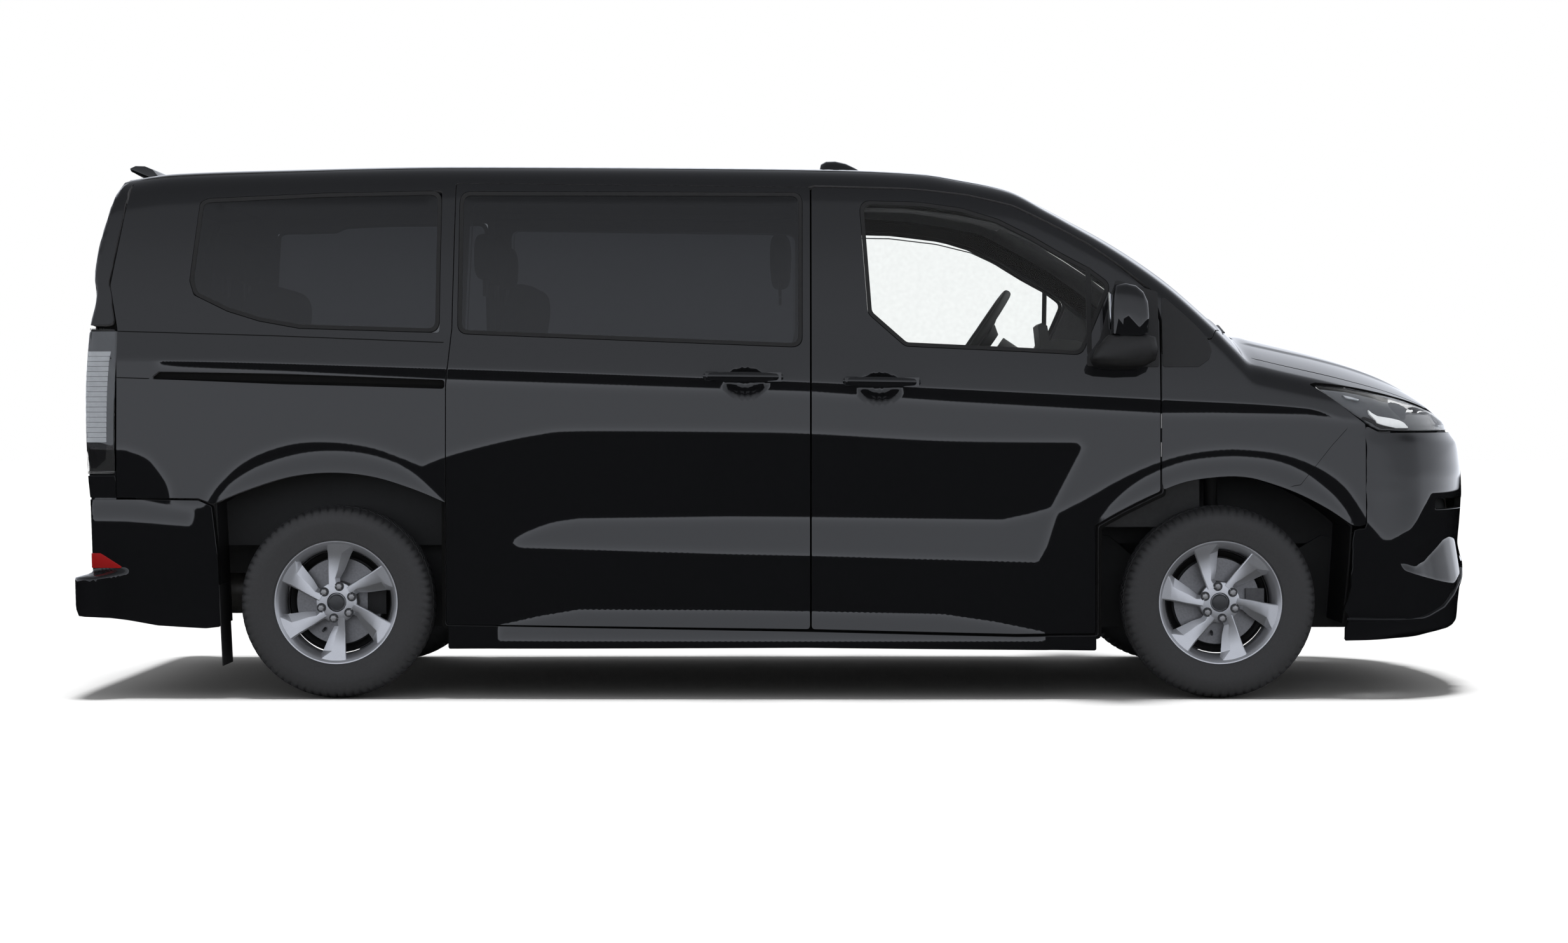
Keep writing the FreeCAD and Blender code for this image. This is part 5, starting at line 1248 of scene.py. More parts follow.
blade = on_front.by_side([(2.04, 1.022), (2.06, 1.004), (2.078, 0.994), (2.12, 0.988), (2.16, 0.98),
                          (2.205, 0.95), (2.15, 0.95), (2.078, 0.966)])
panel(housing_work, on_front, blade, near=0.006, far=0.034, corner=0.003, edge=0.002,
      spacing=(0.02, 0.01))
tail_blade = on_front.by_side([(1.955, 1.072), (2.015, 1.058), (2.015, 1.05), (1.975, 1.058)])
panel(housing_work, on_front, tail_blade, near=0.01, far=0.034, corner=0.002, edge=0.002, finishes=(3, 3),
      spacing=(0.02, 0.01))
front_bar = on_front.by_face([(0.44, 0.95), (0.7, 0.95), (0.72, 0.96), (0.44, 0.96)])
panel(housing_work, on_front, front_bar, near=0.008, far=0.034, corner=0.002, edge=0.002, finishes=(3, 3),
      spacing=(0.02, 0.01))
ribbed_silver = procedural("ribbed_silver", (0.36, 0.38, 0.41), 0.35, metallic=0.2, spread=0.05)
lamp_finishes = [lamp_white, lamp_black, lamp_grey, ribbed_silver]
make_piece("headlamp_housing_left", housing_work, lamp_finishes, "body", ("headlamps",))
make_piece("headlamp_housing_right", housing_work, lamp_finishes, "body", (), True)
cups = Shape()
for place_y, place_z in ((0.6, 0.975), (0.72, 0.985)):
    u, z = on_front.by_face([(place_y, place_z)])[0]
    point, out, _, _ = facing(on_front, np.array([u]), np.array([z]))
    centre = Vector(point[0] - out[0] * 0.0235)
    cups.turned(centre, out[0], [(0.0, 0.0), (0.0, 0.012), (0.018, 0.017), (0.018, 0.0185), (-0.002, 0.0185),
                                 (-0.002, 0.0)], 28)
    cups.turned(centre, out[0], [(0.002, 0.0), (0.002, 0.01), (0.008, 0.009), (0.012, 0.006), (0.014, 0.0)],
                24)
cups.pair("headlamp_cups", [cup_silver], fixed, (), "lamp_lens", hands=left_first)

# The front number plate. A plain blank pressed plate in a thin black holder, screwed to the bumper.
# The rear one is made from the same sizes with the tailgate.
plate_white = procedural("plate_white", (0.72, 0.72, 0.7), 0.35, spread=0.02)
plate_low, plate_high, plate_reach, holder_rim = 0.566, 0.676, 0.26, 0.008
nose_x = float(on_front(np.array([0.0]), np.array([plate_high]))[0][0])
plates = Shape()
plates.prism(oblong(-plate_reach - holder_rim, plate_reach + holder_rim, plate_low - holder_rim,
                    plate_high + holder_rim), "x", nose_x - 0.05, nose_x + 0.004, 0.003, 1)
plates.prism(oblong(-plate_reach, plate_reach, plate_low, plate_high), "x", nose_x, nose_x + 0.0065, 0.002, 0)
plates.done("front_plate", [plate_white, matt_black], "body", (), "black_plastic")

# The tailgate. A steel lid hinged at the roof, with a wide dark window, a recess for the blank
# plate, a black grab strip above it and the rounded cover of the stop lamp along its top.
on_rear = Wrap(tail_line, tail_depth, tail_power, -1, 0.03, 1.9)
gate_half = on_rear.by_face([(0.3, 0.713), (0.785, 0.713), (0.786, 1.312)])
gate_half += on_rear.by_side([(-2.35, 1.311), (-2.3765, 1.455), (-2.3245, 1.765), (-2.316, 1.812)])
gate_half += on_rear.by_face([(0.74, 1.848), (0.55, 1.862), (0.2, 1.872)])
gate_window = on_rear.by_face([(-0.735, 1.414), (0.735, 1.414), (0.69, 1.766), (-0.69, 1.766)])
plate_recess = on_rear.by_face(oblong(-0.272, 0.272, 0.8, 0.93))
gate_work = Sheetwork()
panel(gate_work, on_rear, mirrored_ends(gate_half), [gate_window, plate_recess], finishes=lined, far=0.026,
      corner=0.02,
      hole_corner=0.02, spacing=(0.03, 0.012))
panel(gate_work, on_rear, grown(plate_recess, 0.01), near=0.028, far=0.036, corner=0.01,
      spacing=(0.05, 0.05))
panel(gate_work, on_rear, on_rear.by_face([(-0.33, 0.955), (0.33, 0.955), (0.31, 1.0), (-0.31, 1.0)]),
      near=-0.012,
      far=0.004, corner=0.01, edge=0.006, finishes=(2, 2))
make_piece("tailgate", gate_work, [black_paint, grey_lining, gloss_black], "tailgate", ("tailgate",))
gate_glass = Sheetwork()
panel(gate_glass, on_rear, grown(gate_window, -0.003), near=-0.002, far=0.004, corner=0.03,
      spacing=(0.05, 0.03))
make_piece("tailgate_glass", gate_glass, [privacy_glass], "tailgate", ("tailgate_glass",))
gate_border = Sheetwork()
panel(gate_border, on_rear, grown(gate_window, -0.004), [grown(gate_window, -0.045)], near=0.006, far=0.012,
      corner=0.03, hole_corner=0.03, spacing=(0.05, 0.05))
make_piece("tailgate_glass_border", gate_border, [printed_black], "tailgate", ())
rear_plate = Shape()
gate_x = float(on_rear(np.array([0.0]), np.array([0.87]))[0][0])
rear_plate.prism(oblong(-plate_reach, plate_reach, 0.81, 0.92), "x", gate_x + 0.024, gate_x + 0.0165, 0.002)
rear_plate.done("rear_plate", [plate_white], "tailgate", (), "black_plastic")
stop_lamp = Shape()
stop_lamp.prism([(-2.323, 1.858), (-2.325, 1.884), (-2.345, 1.908), (-2.375, 1.921), (-2.41, 1.922),
                 (-2.432, 1.912),
                 (-2.426, 1.9), (-2.38, 1.882), (-2.35, 1.862)], "y", -0.29, 0.29, 0.005)
stop_lamp.done("high_stop_lamp", [black_paint], "tailgate", (), "black_paint", sharp=50)

# The tail lamps. Tall clear covers that wrap round the corner, silver and ribbed inside with a red
# band facing back.
lamp_red = procedural("lamp_red", (0.35, 0.008, 0.008), 0.15, spread=0.03)
lamp_inner_y = 0.797
tail_outline = on_rear.by_side([(-2.347, 0.79), (-2.347, 1.298)])
tail_outline += on_rear.by_face([(lamp_inner_y, 1.304), (lamp_inner_y, 0.788)])
tail_lens = Sheetwork()
panel(tail_lens, on_rear, tail_outline, near=0.0, far=0.0035, corner=0.015, spacing=(0.008, 0.02),
      edge=0.001)
both_sides("tail_lamp_lens", tail_lens, [lamp_lens], fixed, ())
tail_back = Sheetwork()
inner_tail = grown(tail_outline, -0.003)
outer_u = max(u for u, _ in inner_tail)
inner_u = min(u for u, _ in inner_tail)
panel(tail_back, on_rear, inner_tail, near=0.0052, far=0.04, corner=0.015, finishes=(1, 1),
      spacing=(0.01, 0.03))
panel(tail_back, on_rear, [(inner_u + 0.002, 0.955), (outer_u - 0.0015, 0.885), (outer_u - 0.0015, 1.29),
                           (inner_u + 0.002, 1.29)], near=0.0046, far=0.02, corner=0.012, finishes=(3, 3),
      spacing=(0.01, 0.03))
rib_count, rib_first, rib_rise, rib_height = 18, 0.9, 0.0178, 0.0168
for row in range(rib_count):
    level = rib_first + row * rib_rise
    start_u = inner_u + 0.055 + max(0.0, 0.01 - row * 0.004)
    panel(tail_back, on_rear, oblong(start_u, outer_u - 0.026, level, level + rib_height), near=0.0038,
          far=0.012,
          corner=0.0008, edge=0.0006, spacing=(0.012, 0.03), rim_step=0.012)
panel(tail_back, on_rear, oblong(inner_u + 0.004, inner_u + 0.035, 0.9, 1.25), near=0.004, far=0.014,
      corner=0.006, edge=0.002,
      finishes=(2, 2), spacing=(0.02, 0.03))
tail_finishes = [ribbed_silver, lamp_black, lamp_red, lamp_grey]
make_piece("tail_lamp_right", tail_back, tail_finishes, "body", ("tail_lamps",))
make_piece("tail_lamp_left", tail_back, tail_finishes, "body", (), True)

# The rear bumper. A black moulding from arch to arch that steps out into a tread below, with red
# reflectors above the step.
step_reach = 0.062


def ledge_height(x):
    return 0.459 + 0.14 * np.clip(x + 2.33, -0.13, 0)


def stepped_bumper(u, z):
    point = on_rear(u, z)
    out = on_rear.outward(u, z)
    back_share = eased((-2.29 - point[..., 0]) / 0.11)
    rise = step_reach * eased((ledge_height(point[..., 0]) - z) / 0.022) * back_share
    under = 0.05 * np.clip((0.33 - z) / 0.09, 0, 1) ** 2
    return point + out * (rise - under * (0.3 + 0.7 * back_share))[..., None]


rear_half = on_rear.by_face([(0.3, 0.3), (0.82, 0.298)])
rear_half += on_rear.by_side([(-2.36, 0.285), (-2.2, 0.256), (-2.03, 0.246), (-1.976, 0.252),
                              (-1.985, 0.5), (-2.005, 0.676), (-2.052, 0.697), (-2.3, 0.7)])
rear_half += on_rear.by_face([(0.8, 0.7), (0.3, 0.7)])
rear_work = Sheetwork()
ledge_rows = (lambda u: ledge_height(on_rear(u, np.full(np.shape(u), 0.45))[..., 0]),
              tuple(0.004 * n for n in range(-7, 2)))
panel(rear_work, stepped_bumper, mirrored_ends(rear_half), finishes=lined, far=0.055, corner=0.012,
      spacing=(0.014, 0.01),
      close_rows=ledge_rows)
make_piece("rear_bumper", rear_work, [black_paint, matt_black_and_seam_shade], "body", ("rear_bumper",))
tread = Shape()
tread_rows, tread_count, tread_start, tread_pitch = 2, 24, -0.6, 0.0522
for row in range(tread_rows):
    for k in range(tread_count):
        y = tread_start + k * tread_pitch
        tread.prism(oblong(-2.494 + row * 0.028, -2.478 + row * 0.028, y - 0.018, y + 0.018), "z", 0.425,
                    0.4445, 0.002)
tread.done("step_tread", [matt_black], "body", (), "black_plastic")
reflector_work = Sheetwork()
panel(reflector_work, on_rear, on_rear.by_side([(-2.315, 0.459), (-2.396, 0.511)])
      + on_rear.by_face([(0.86, 0.512), (0.8, 0.508), (0.8, 0.47), (0.88, 0.46)]),
      near=-0.003, far=0.006, corner=0.004, spacing=(0.01, 0.015))
both_sides("reflector", reflector_work, [lamp_red], fixed, ())

# The door mirrors. A gloss black shell on a grained black foot, with a turn light and a heated glass that
# faces back, carried on the door.
mirror_body = Shape()
cap_line = [(-0.062, 0.055), (-0.067, 0.0), (-0.067, -0.085), (-0.03, -0.094), (0.045, -0.092),
            (0.064, -0.08),
            (0.068, -0.02), (0.062, 0.03), (0.046, 0.062), (0.02, 0.083), (-0.015, 0.091), (-0.05, 0.086)]
cap_scales = [0.78, 0.9, 0.97, 1.0, 0.985, 0.955, 0.9, 0.81, 0.66, 0.42]
cap_reach = [0.988, 0.998, 1.02, 1.072, 1.1, 1.113, 1.123, 1.13, 1.1345, 1.1365]
cap_path = [(1.1965, -reach, 1.362) for reach in cap_reach]
mirror_body.swept(cap_path, [(-a, b) for a, b in cap_line][::-1], (0, 0, 1), scales=cap_scales)
for ring, (reach, scale) in enumerate(zip(cap_reach, cap_scales)):
    for v in mirror_body.mesh.verts[:][ring * 12:ring * 12 + 12]:
        v.co.z -= 0.09 * (1 - scale) if reach > 1.05 else 0.0
mirror_body.pair("mirror_shell", [black_paint], door_bodies, ("mirror",), "black_paint", sharp=60)
mirror_foot = Shape()
foot_line = [(-0.125, -0.03), (-0.1, 0.01), (-0.07, 0.045), (-0.02, 0.057), (0.05, 0.052),
             (0.095, 0.04),
             (0.105, 0.0), (0.095, -0.04), (0.06, -0.06), (-0.02, -0.064), (-0.095, -0.058),
             (-0.122, -0.046)]
foot_path = [(1.185, -0.958, 1.205), (1.185, -0.975, 1.206), (1.185, -1.0, 1.214), (1.188, -1.04, 1.222),
             (1.19, -1.1, 1.226), (1.19, -1.125, 1.226), (1.19, -1.134, 1.226)]
mirror_foot.swept(foot_path, [(-a, b) for a, b in foot_line][::-1], (0, 0, 1),
                  scales=[0.8, 0.86, 0.92, 1.0, 1.0, 0.9, 0.72])
mirror_foot.pair("mirror_foot", [matt_black], door_bodies, (), "black_plastic", sharp=60)
mirror_glass = Shape()
mirror_glass.prism([(-1.092, 1.292), (-1.02, 1.292), (-1.016, 1.415), (-1.05, 1.424), (-1.088, 1.415)], "x",
                   1.1275, 1.132, 0.001)
mirror_glass.pair("mirror_glass", [mirror_silver], door_bodies, (), "black_plastic")
nut_silver = procedural("nut_silver", (0.42, 0.42, 0.43), 0.3, metallic=0.8)
turn_light = Shape()
turn_light.block((1.118, -1.1305, 1.196), (1.134, -1.12, 1.214), 0.005)
turn_light.pair("mirror_turn_light", [nut_silver], door_bodies, (), "lamp_lens")
patch_work = Sheetwork()
panel(patch_work, on_side, side_line([(1.3245, 1.163), (1.3245, 1.418), (1.4, 1.352), (1.452, 1.302),
                                      (1.484, 1.262), (1.498, 1.222), (1.488, 1.19), (1.452, 1.164)]),
      near=-0.002, far=0.005, corner=0.012, spacing=(0.02, 0.02), edge=0.0015)
both_sides("pillar_trim", patch_work, [matt_black], fixed, ())
door_patch = Sheetwork()
panel(door_patch, on_side, side_line([(1.06, 1.166), (1.3125, 1.163), (1.3125, 1.428), (1.165, 1.47),
                                      (1.105, 1.26), (1.06, 1.2)]),
      near=-0.002, far=0.01, corner=0.01, spacing=(0.02, 0.02), edge=0.0015)
both_sides("mirror_sail", door_patch, [matt_black], door_bodies, ())

# The wheels. Silver cast alloy with six leaning spokes and six nuts round a dark centre cap, over a
# steel brake disc, in wide tyres with fine shoulder blocks.
alloy = procedural("alloy", (0.72, 0.73, 0.76), 0.42, metallic=0.9, spread=0.04, grain=500.0)
disc_steel = procedural("disc_steel", (0.3, 0.3, 0.31), 0.4, metallic=0.8, spread=0.12, grain=120.0)
tyre_rubber = procedural("tyre_rubber", (0.034, 0.0345, 0.037), 0.62, spread=0.1, grain=140.0, bump=0.25)
wheel_z, tyre_middle = 0.339, 0.872
front_axle_x, rear_axle_x = 1.53, -1.57
tyre_half = [(0.776, 0.216), (0.77, 0.222), (0.768, 0.245), (0.764, 0.275), (0.7665, 0.3), (0.775, 0.318),
             (0.788, 0.33), (0.806, 0.3355), (0.818, 0.3372), (0.82, 0.331), (0.826, 0.331),
             (0.828, 0.3382), (0.85, 0.3388), (0.852, 0.332), (0.858, 0.332), (0.86, 0.3388)]
tyre_profile = tyre_half + [(2 * tyre_middle - reach, radius) for reach, radius in tyre_half[::-1]]
blocks, block_steps = 72, 4


def build_tyre(x):
    tyre = Shape()
    sides = blocks * block_steps
    rings = []
    for reach, radius in tyre_profile:
        ring = []
        for k in range(sides):
            shoulder = min(abs(reach - tyre_middle), 0.2)
            cut = 0.0
            if k % block_steps == 0 and radius > 0.312:
                cut = 0.0055 if shoulder > 0.055 else 0.003
            angle = 2 * math.pi * (k + (reach - tyre_middle) * 30 * (shoulder < 0.06)) / sides
            ring.append(tyre.mesh.verts.new((x + (radius - cut) * math.cos(angle), -reach,
                                             wheel_z + (radius - cut) * math.sin(angle))))
        rings.append(ring)
    for a, b in zip(rings, rings[1:] + rings[:1]):
        for k in range(sides):
            n = (k + 1) % sides
            tyre.mesh.faces.new((a[k], a[n], b[n], b[k]))
    return tyre


spoke_radii = [0.056, 0.084, 0.113, 0.145, 0.171, 0.19, 0.2045]
spoke_left = [-0.029, -0.03, -0.0313, -0.0313, -0.032, -0.0335, -0.035]
spoke_right = [0.0, -0.006, 0.005, 0.012, 0.019, 0.046, 0.064]
spoke_bevel = [0.01, 0.01, 0.026, 0.039, 0.05, 0.062, 0.068]
spoke_face = [0.954, 0.951, 0.9475, 0.948, 0.951, 0.956, 0.9585]
spoke_back = 0.034
nut_circle, valve_reach = 0.0565, 0.196
spoke_count, nut_count = 6, 6


def build_rim(x, spoke_turn, nut_turn):
    rim = Shape()
    hub, outboard = (x, 0, wheel_z), (0, -1, 0)
    rim.turned(hub, outboard,
               [(0.778, 0.2165), (0.776, 0.2035), (0.79, 0.196), (0.88, 0.184), (0.93, 0.19),
                (0.952, 0.2005),
                (0.958, 0.2045), (0.9625, 0.2085), (0.9665, 0.212), (0.967, 0.2165), (0.9645, 0.22),
                (0.952, 0.22), (0.95, 0.212), (0.88, 0.19), (0.795, 0.202), (0.793, 0.2165),
                (0.778, 0.2165)],
               96)
    for spoke in range(spoke_count):
        turn = math.radians(spoke_turn + 360 / spoke_count * spoke)
        out = Vector((math.cos(turn), 0, math.sin(turn)))
        side = Vector((math.sin(turn), 0, -math.cos(turn)))
        rings = []
        for radius, left, right, bevel, face in zip(spoke_radii, spoke_left, spoke_right, spoke_bevel,
                                                    spoke_face):
            middle = Vector((x, 0, wheel_z)) + out * radius
            section = [(left + 0.002, face - 0.0015), (left + 0.005, face), (right - 0.003, face),
                       (right, face - 0.001), (bevel, face - 0.017), (bevel - 0.004, face - spoke_back),
                       (left + 0.006, face - spoke_back), (left, face - 0.006)]
            rings.append([rim.mesh.verts.new(middle + side * a + Vector((0, -depth, 0))) for a,
                          depth in section])
        for a, b in zip(rings, rings[1:]):
            for k in range(8):
                n = (k + 1) % 8
                rim.mesh.faces.new((a[k], a[n], b[n], b[k]))
        rim.mesh.faces.new(rings[0])
        rim.mesh.faces.new(rings[-1][::-1])
    rim.turned(hub, outboard, [(0.915, 0.0), (0.915, 0.062), (0.944, 0.072), (0.95, 0.07),
                                             (0.952, 0.064), (0.953, 0.034), (0.944, 0.03), (0.944, 0.0)],
               60)
    rim.turned(hub, outboard, [(0.944, 0.0), (0.944, 0.0285), (0.954, 0.0285), (0.958, 0.024),
                                             (0.9595, 0.012), (0.9595, 0.0)], 40, 1)
    for nut in range(nut_count):
        turn = math.radians(nut_turn + 360 / nut_count * nut)
        centre = (x + nut_circle * math.cos(turn), 0, wheel_z + nut_circle * math.sin(turn))
        rim.turned(centre, outboard, [(0.9525, 0.0), (0.9525, 0.0165), (0.9537, 0.0165), (0.9537, 0.0)], 24,
                   1)
        rim.turned(centre, outboard, [(0.95, 0.0), (0.95, 0.0115), (0.964, 0.011), (0.9665, 0.0085),
                                        (0.967, 0.0)], 6, 2, start=turn)
    rim.turned(hub, outboard, [(0.845, 0.055), (0.845, 0.152), (0.867, 0.152), (0.867, 0.055),
                                             (0.845, 0.055)], 60, 3)
    rim.turned(hub, outboard, [(0.842, 0.0), (0.842, 0.072), (0.895, 0.072), (0.915, 0.062),
                                             (0.915, 0.0)], 40, 3)
    valve_turn = math.radians(spoke_turn - 28)
    at = Vector((x + valve_reach * math.cos(valve_turn), 0, wheel_z + valve_reach * math.sin(valve_turn)))
    rim.turned(at, (-0.35 * math.cos(valve_turn), -1, -0.35 * math.sin(valve_turn)),
               [(0.925, 0.0), (0.925, 0.005), (0.952, 0.005), (0.952, 0.0)], 12, 1)
    return rim


cap_grey = procedural("cap_grey", (0.035, 0.037, 0.042), 0.3)
for end, axle_x, spoke_turn, nut_turn in (("front", front_axle_x, 108.0, 38.0),
                                          ("rear", rear_axle_x, 90.0, 20.0)):
    tyre = build_tyre(axle_x)
    rim = build_rim(axle_x, spoke_turn, nut_turn)
    for hand in ("right", "left"):
        wheel = "wheel_" + end + "_" + hand
        node = "_" + end + "_" + hand
        tyre.done("tyre" + node, [tyre_rubber], wheel, ("tyre" + node,), "tyre_rubber", hand == "left", 30)
        rim.done("rim" + node, [alloy, cap_grey, nut_silver, disc_steel], wheel, ("rim" + node,), "alloy",
                 hand == "left", 20)

# The brake shields. Thin steel discs pressed into a dish and coated black, bolted to the hubs behind
# the brake discs to keep off spray.
knuckles = ("knuckle_front_right", "knuckle_front_left")
for end, axle_x, bodies in (("front", front_axle_x, knuckles), ("rear", rear_axle_x, fixed)):
    shield = Shape()
    shield.turned((axle_x, 0, wheel_z), (0, -1, 0),
                  [(0.834, 0.045), (0.834, 0.16), (0.85, 0.181), (0.866, 0.1825),
                                                     (0.866, 0.179), (0.853, 0.176), (0.838, 0.157),
                   (0.838, 0.045),
                                                     (0.834, 0.045)], 60)
    shield.pair("brake_shield_" + end, [matt_black], bodies, (), "underbody_paint")

# The splash shields. Upright walls of black plastic beside the engine and ahead of the rear springs,
# clipped to the rails.
splash = Shape()
for side in (-1, 1):
    splash.prism([(1.06, 0.225), (2.2, 0.225), (2.2, 0.52), (1.95, 0.56), (1.72, 0.42), (1.34, 0.42),
                  (1.18, 0.56), (1.06, 0.56)], "y", side * 0.552, side * 0.557, 0.001)
    splash.prism(oblong(-1.42, -1.1, 0.235, 0.56), "y", side * 0.64, side * 0.645, 0.001)
splash.done("splash_shields", [matt_black], "body", (), "black_plastic")

# The seats. Foam cushions and backs in dark grey woven cloth with sewn channels, on black bases,
# with headrests on two steel posts each.
seat_cloth = procedural("seat_cloth", (0.055, 0.056, 0.06), 0.9, grain=300.0, bump=0.8, bump_grain=2200.0)
seat_side = procedural("seat_side", (0.03, 0.031, 0.034), 0.85, grain=200.0, bump=0.6, bump_grain=1800.0)
seat_top_z, seat_thick = 0.92, 0.14
seat_depth, back_thick, back_lean, back_top_z = 0.52, 0.11, 0.13, 1.48
post_apart, head_ahead, head_middle_z = 0.1, 0.045, 1.575


def pad(name, centre, size, tilt, seams, body, nodes=(), power=5.0, crown=0.16):
    # A crowned foam pad with rounded sides and sewn channels across and along its face.
    shape = bmesh.new()
    bmesh.ops.create_cube(shape, size=2.0)
    bmesh.ops.subdivide_edges(shape, edges=shape.edges[:], cuts=15, use_grid_fill=True)
    turn = Matrix.Rotation(tilt, 3, "Y")
    for v in shape.verts:
        p = np.array(v.co)
        longest = np.max(np.abs(p))
        p = p / (np.sum(np.abs(p) ** power)) ** (1 / power) * longest
        u, w, h = p
        if h > 0:
            h += crown * (1 - u * u) * (1 - w * w)
            dent = sum(math.exp(-((w - seam) / 0.035) ** 2) for seam in seams)
            dent += 0.6 * math.exp(-((abs(w) - 0.72) / 0.03) ** 2)
            dent += 0.5 * math.exp(-((u - 0.25) / 0.03) ** 2) * (abs(w) < 0.72)
            h -= 0.13 * dent * min(1.0, 4 * (1 - abs(u)))
        place = turn @ Vector((u * size[0] / 2, w * size[1] / 2, h * size[2] / 2 * 0.86))
        v.co = Vector(centre) + place
    for face in shape.faces:
        face.material_index = 0 if abs(face.normal.dot(turn @ Vector((0, 0, 1)))) > 0.6 else 1
    mesh = bpy.data.meshes.new(name)
    shape.to_mesh(mesh)
    shape.free()
    mesh.polygons.foreach_set("use_smooth", np.ones(len(mesh.polygons), bool))
    placed(name, mesh, [seat_cloth, seat_side], body, nodes)


def seat(name, x, y, width, places, nodes=()):
    seams = [-1 + 2 * k / places for k in range(1, places)]
    pad(name + "_cushion", (x + seat_depth / 2 + 0.01, y, seat_top_z - seat_thick / 2),
        (seat_depth, width, seat_thick),
        math.radians(-2), seams, "body", nodes)
    rise = back_top_z - seat_top_z + 0.05
    lean = math.atan2(back_lean, rise)
    pad(name + "_back", (x + back_thick / 2 - back_lean / 2, y, seat_top_z - 0.05 + rise / 2),
        (rise / math.cos(lean), width, back_thick), lean + math.pi / 2, seams, "body")
    base = Shape()
    base.block((x + 0.06, y - width / 2 + 0.06, 0.562), (x + seat_depth - 0.06, y + width / 2 - 0.06, 0.8),
               0.02)
    for place in range(places):
        middle = y - width / 2 + width * (place * 2 + 1) / (places * 2)
        pad(name + "_head_" + str(place), (x - back_lean + head_ahead, middle, head_middle_z),
            (0.165, 0.255, 0.085),
            math.pi / 2, [], "body", power=3.5)
        for sideways in (-post_apart / 2, post_apart / 2):
            base.swept([(x - back_lean + head_ahead, middle + sideways, 1.43),
                        (x - back_lean + head_ahead, middle + sideways, 1.53)],
                       oval(0.006, 0.006, 10), (1, 0, 0), finish=1)
    base.done(name + "_base", [matt_black, disc_steel], "body", (), "dark_trim")


seat("driver_seat", 0.07, 0.4, 0.5, 1, ("front_seats",))
seat("passenger_seat", 0.07, -0.4, 0.5, 1)
seat("middle_row", -1.01, 0.0, 1.3, 3, ("rear_seats",))
seat("rear_row", -1.96, 0.0, 1.3, 3)

# The dashboard. A soft grained moulding from door to door, screwed to the bulkhead, with a hood over
# the dials, a screen, round vents, a storage lid and the steering column.
dark_trim = procedural("dark_trim", (0.03, 0.0305, 0.032), 0.6, bump=0.5, bump_grain=1500.0)
screen_black = procedural("screen_black", (0.006, 0.006, 0.008), 0.1)
dash = Shape()
dash.prism([(1.04, 0.822), (0.985, 1.0), (0.982, 1.155), (1.005, 1.195), (1.06, 1.218), (1.25, 1.223),
            (1.472, 1.222), (1.472, 0.822)], "y", -0.855, 0.855, 0.012)
dash.prism([(1.005, 1.19), (0.985, 1.235), (1.0, 1.272), (1.06, 1.292), (1.14, 1.285), (1.26, 1.225)], "y",
           0.235, 0.565, 0.012)
dash.prism([(0.975, 1.19), (0.96, 1.335), (0.972, 1.345), (0.995, 1.335), (1.02, 1.19)], "y", -0.1, 0.14,
           0.006, 1)
for vent_y in (-0.78, -0.62, 0.62, 0.78):
    dash.turned((0.985, vent_y, 1.11), (-1, 0, 0),
                [(-0.01, 0.0), (-0.01, 0.045), (0.006, 0.045), (0.008, 0.04),
                                                    (0.0, 0.036), (-0.004, 0.0)], 24, 1)
for slat in range(4):
    dash.block((0.972, -0.12, 1.05 + slat * 0.018), (0.99, 0.12, 1.058 + slat * 0.018), 0.002, 1)
dash.block((0.975, -0.74, 0.86), (0.99, -0.26, 0.99), 0.012, 0)
dash.swept([(1.09, 0.4, 1.109), (0.846, 0.4, 1.274)], oval(0.034, 0.034, 20), (0, 1, 0))
dash.block((1.05, -0.85, 0.6), (1.47, 0.85, 0.824), 0.02, 0)
dash.done("dashboard", [dark_trim, screen_black], "body", ("dashboard",), "dark_trim")

# The steering wheel. A ring with a grained black grip on three arms, with a padded hub, which turns
# about the column.
wheel_tilt, grip_radius = math.radians(34), 0.184
wheel_middle = Vector((0.774, 0.4, 1.322))
axis = Vector((-math.cos(wheel_tilt), 0, math.sin(wheel_tilt)))
upright = Vector((math.sin(wheel_tilt), 0, math.cos(wheel_tilt)))
steering = Shape()
ring = [wheel_middle + (upright * math.cos(2 * math.pi * k / 48)
                        + Vector((0, 1, 0)) * math.sin(2 * math.pi * k / 48))
        * grip_radius for k in range(48)]
steering.swept(ring, oval(0.0145, 0.016, 12), axis, closed=True)
for turn in (0.0, 2 * math.pi / 3, 4 * math.pi / 3):
    reach = -upright * math.cos(turn) + Vector((0, 1, 0)) * math.sin(turn)
    steering.swept([wheel_middle - axis * 0.022 + reach * 0.03, wheel_middle - axis * 0.016 + reach * 0.1,
                    wheel_middle + reach * 0.182],
                   [(-0.018, -0.006), (0.018, -0.006), (0.018, 0.006), (-0.018, 0.006)],
                   axis, scales=[1.3, 1.0, 0.7])
steering.turned(wheel_middle, axis, [(-0.062, 0.0), (-0.062, 0.034), (-0.03, 0.058), (-0.006, 0.058),
                                     (0.004, 0.05), (0.008, 0.0)], 32)
steering.done("steering_wheel", [dark_trim], "steering", ("steering_wheel",), "dark_trim")

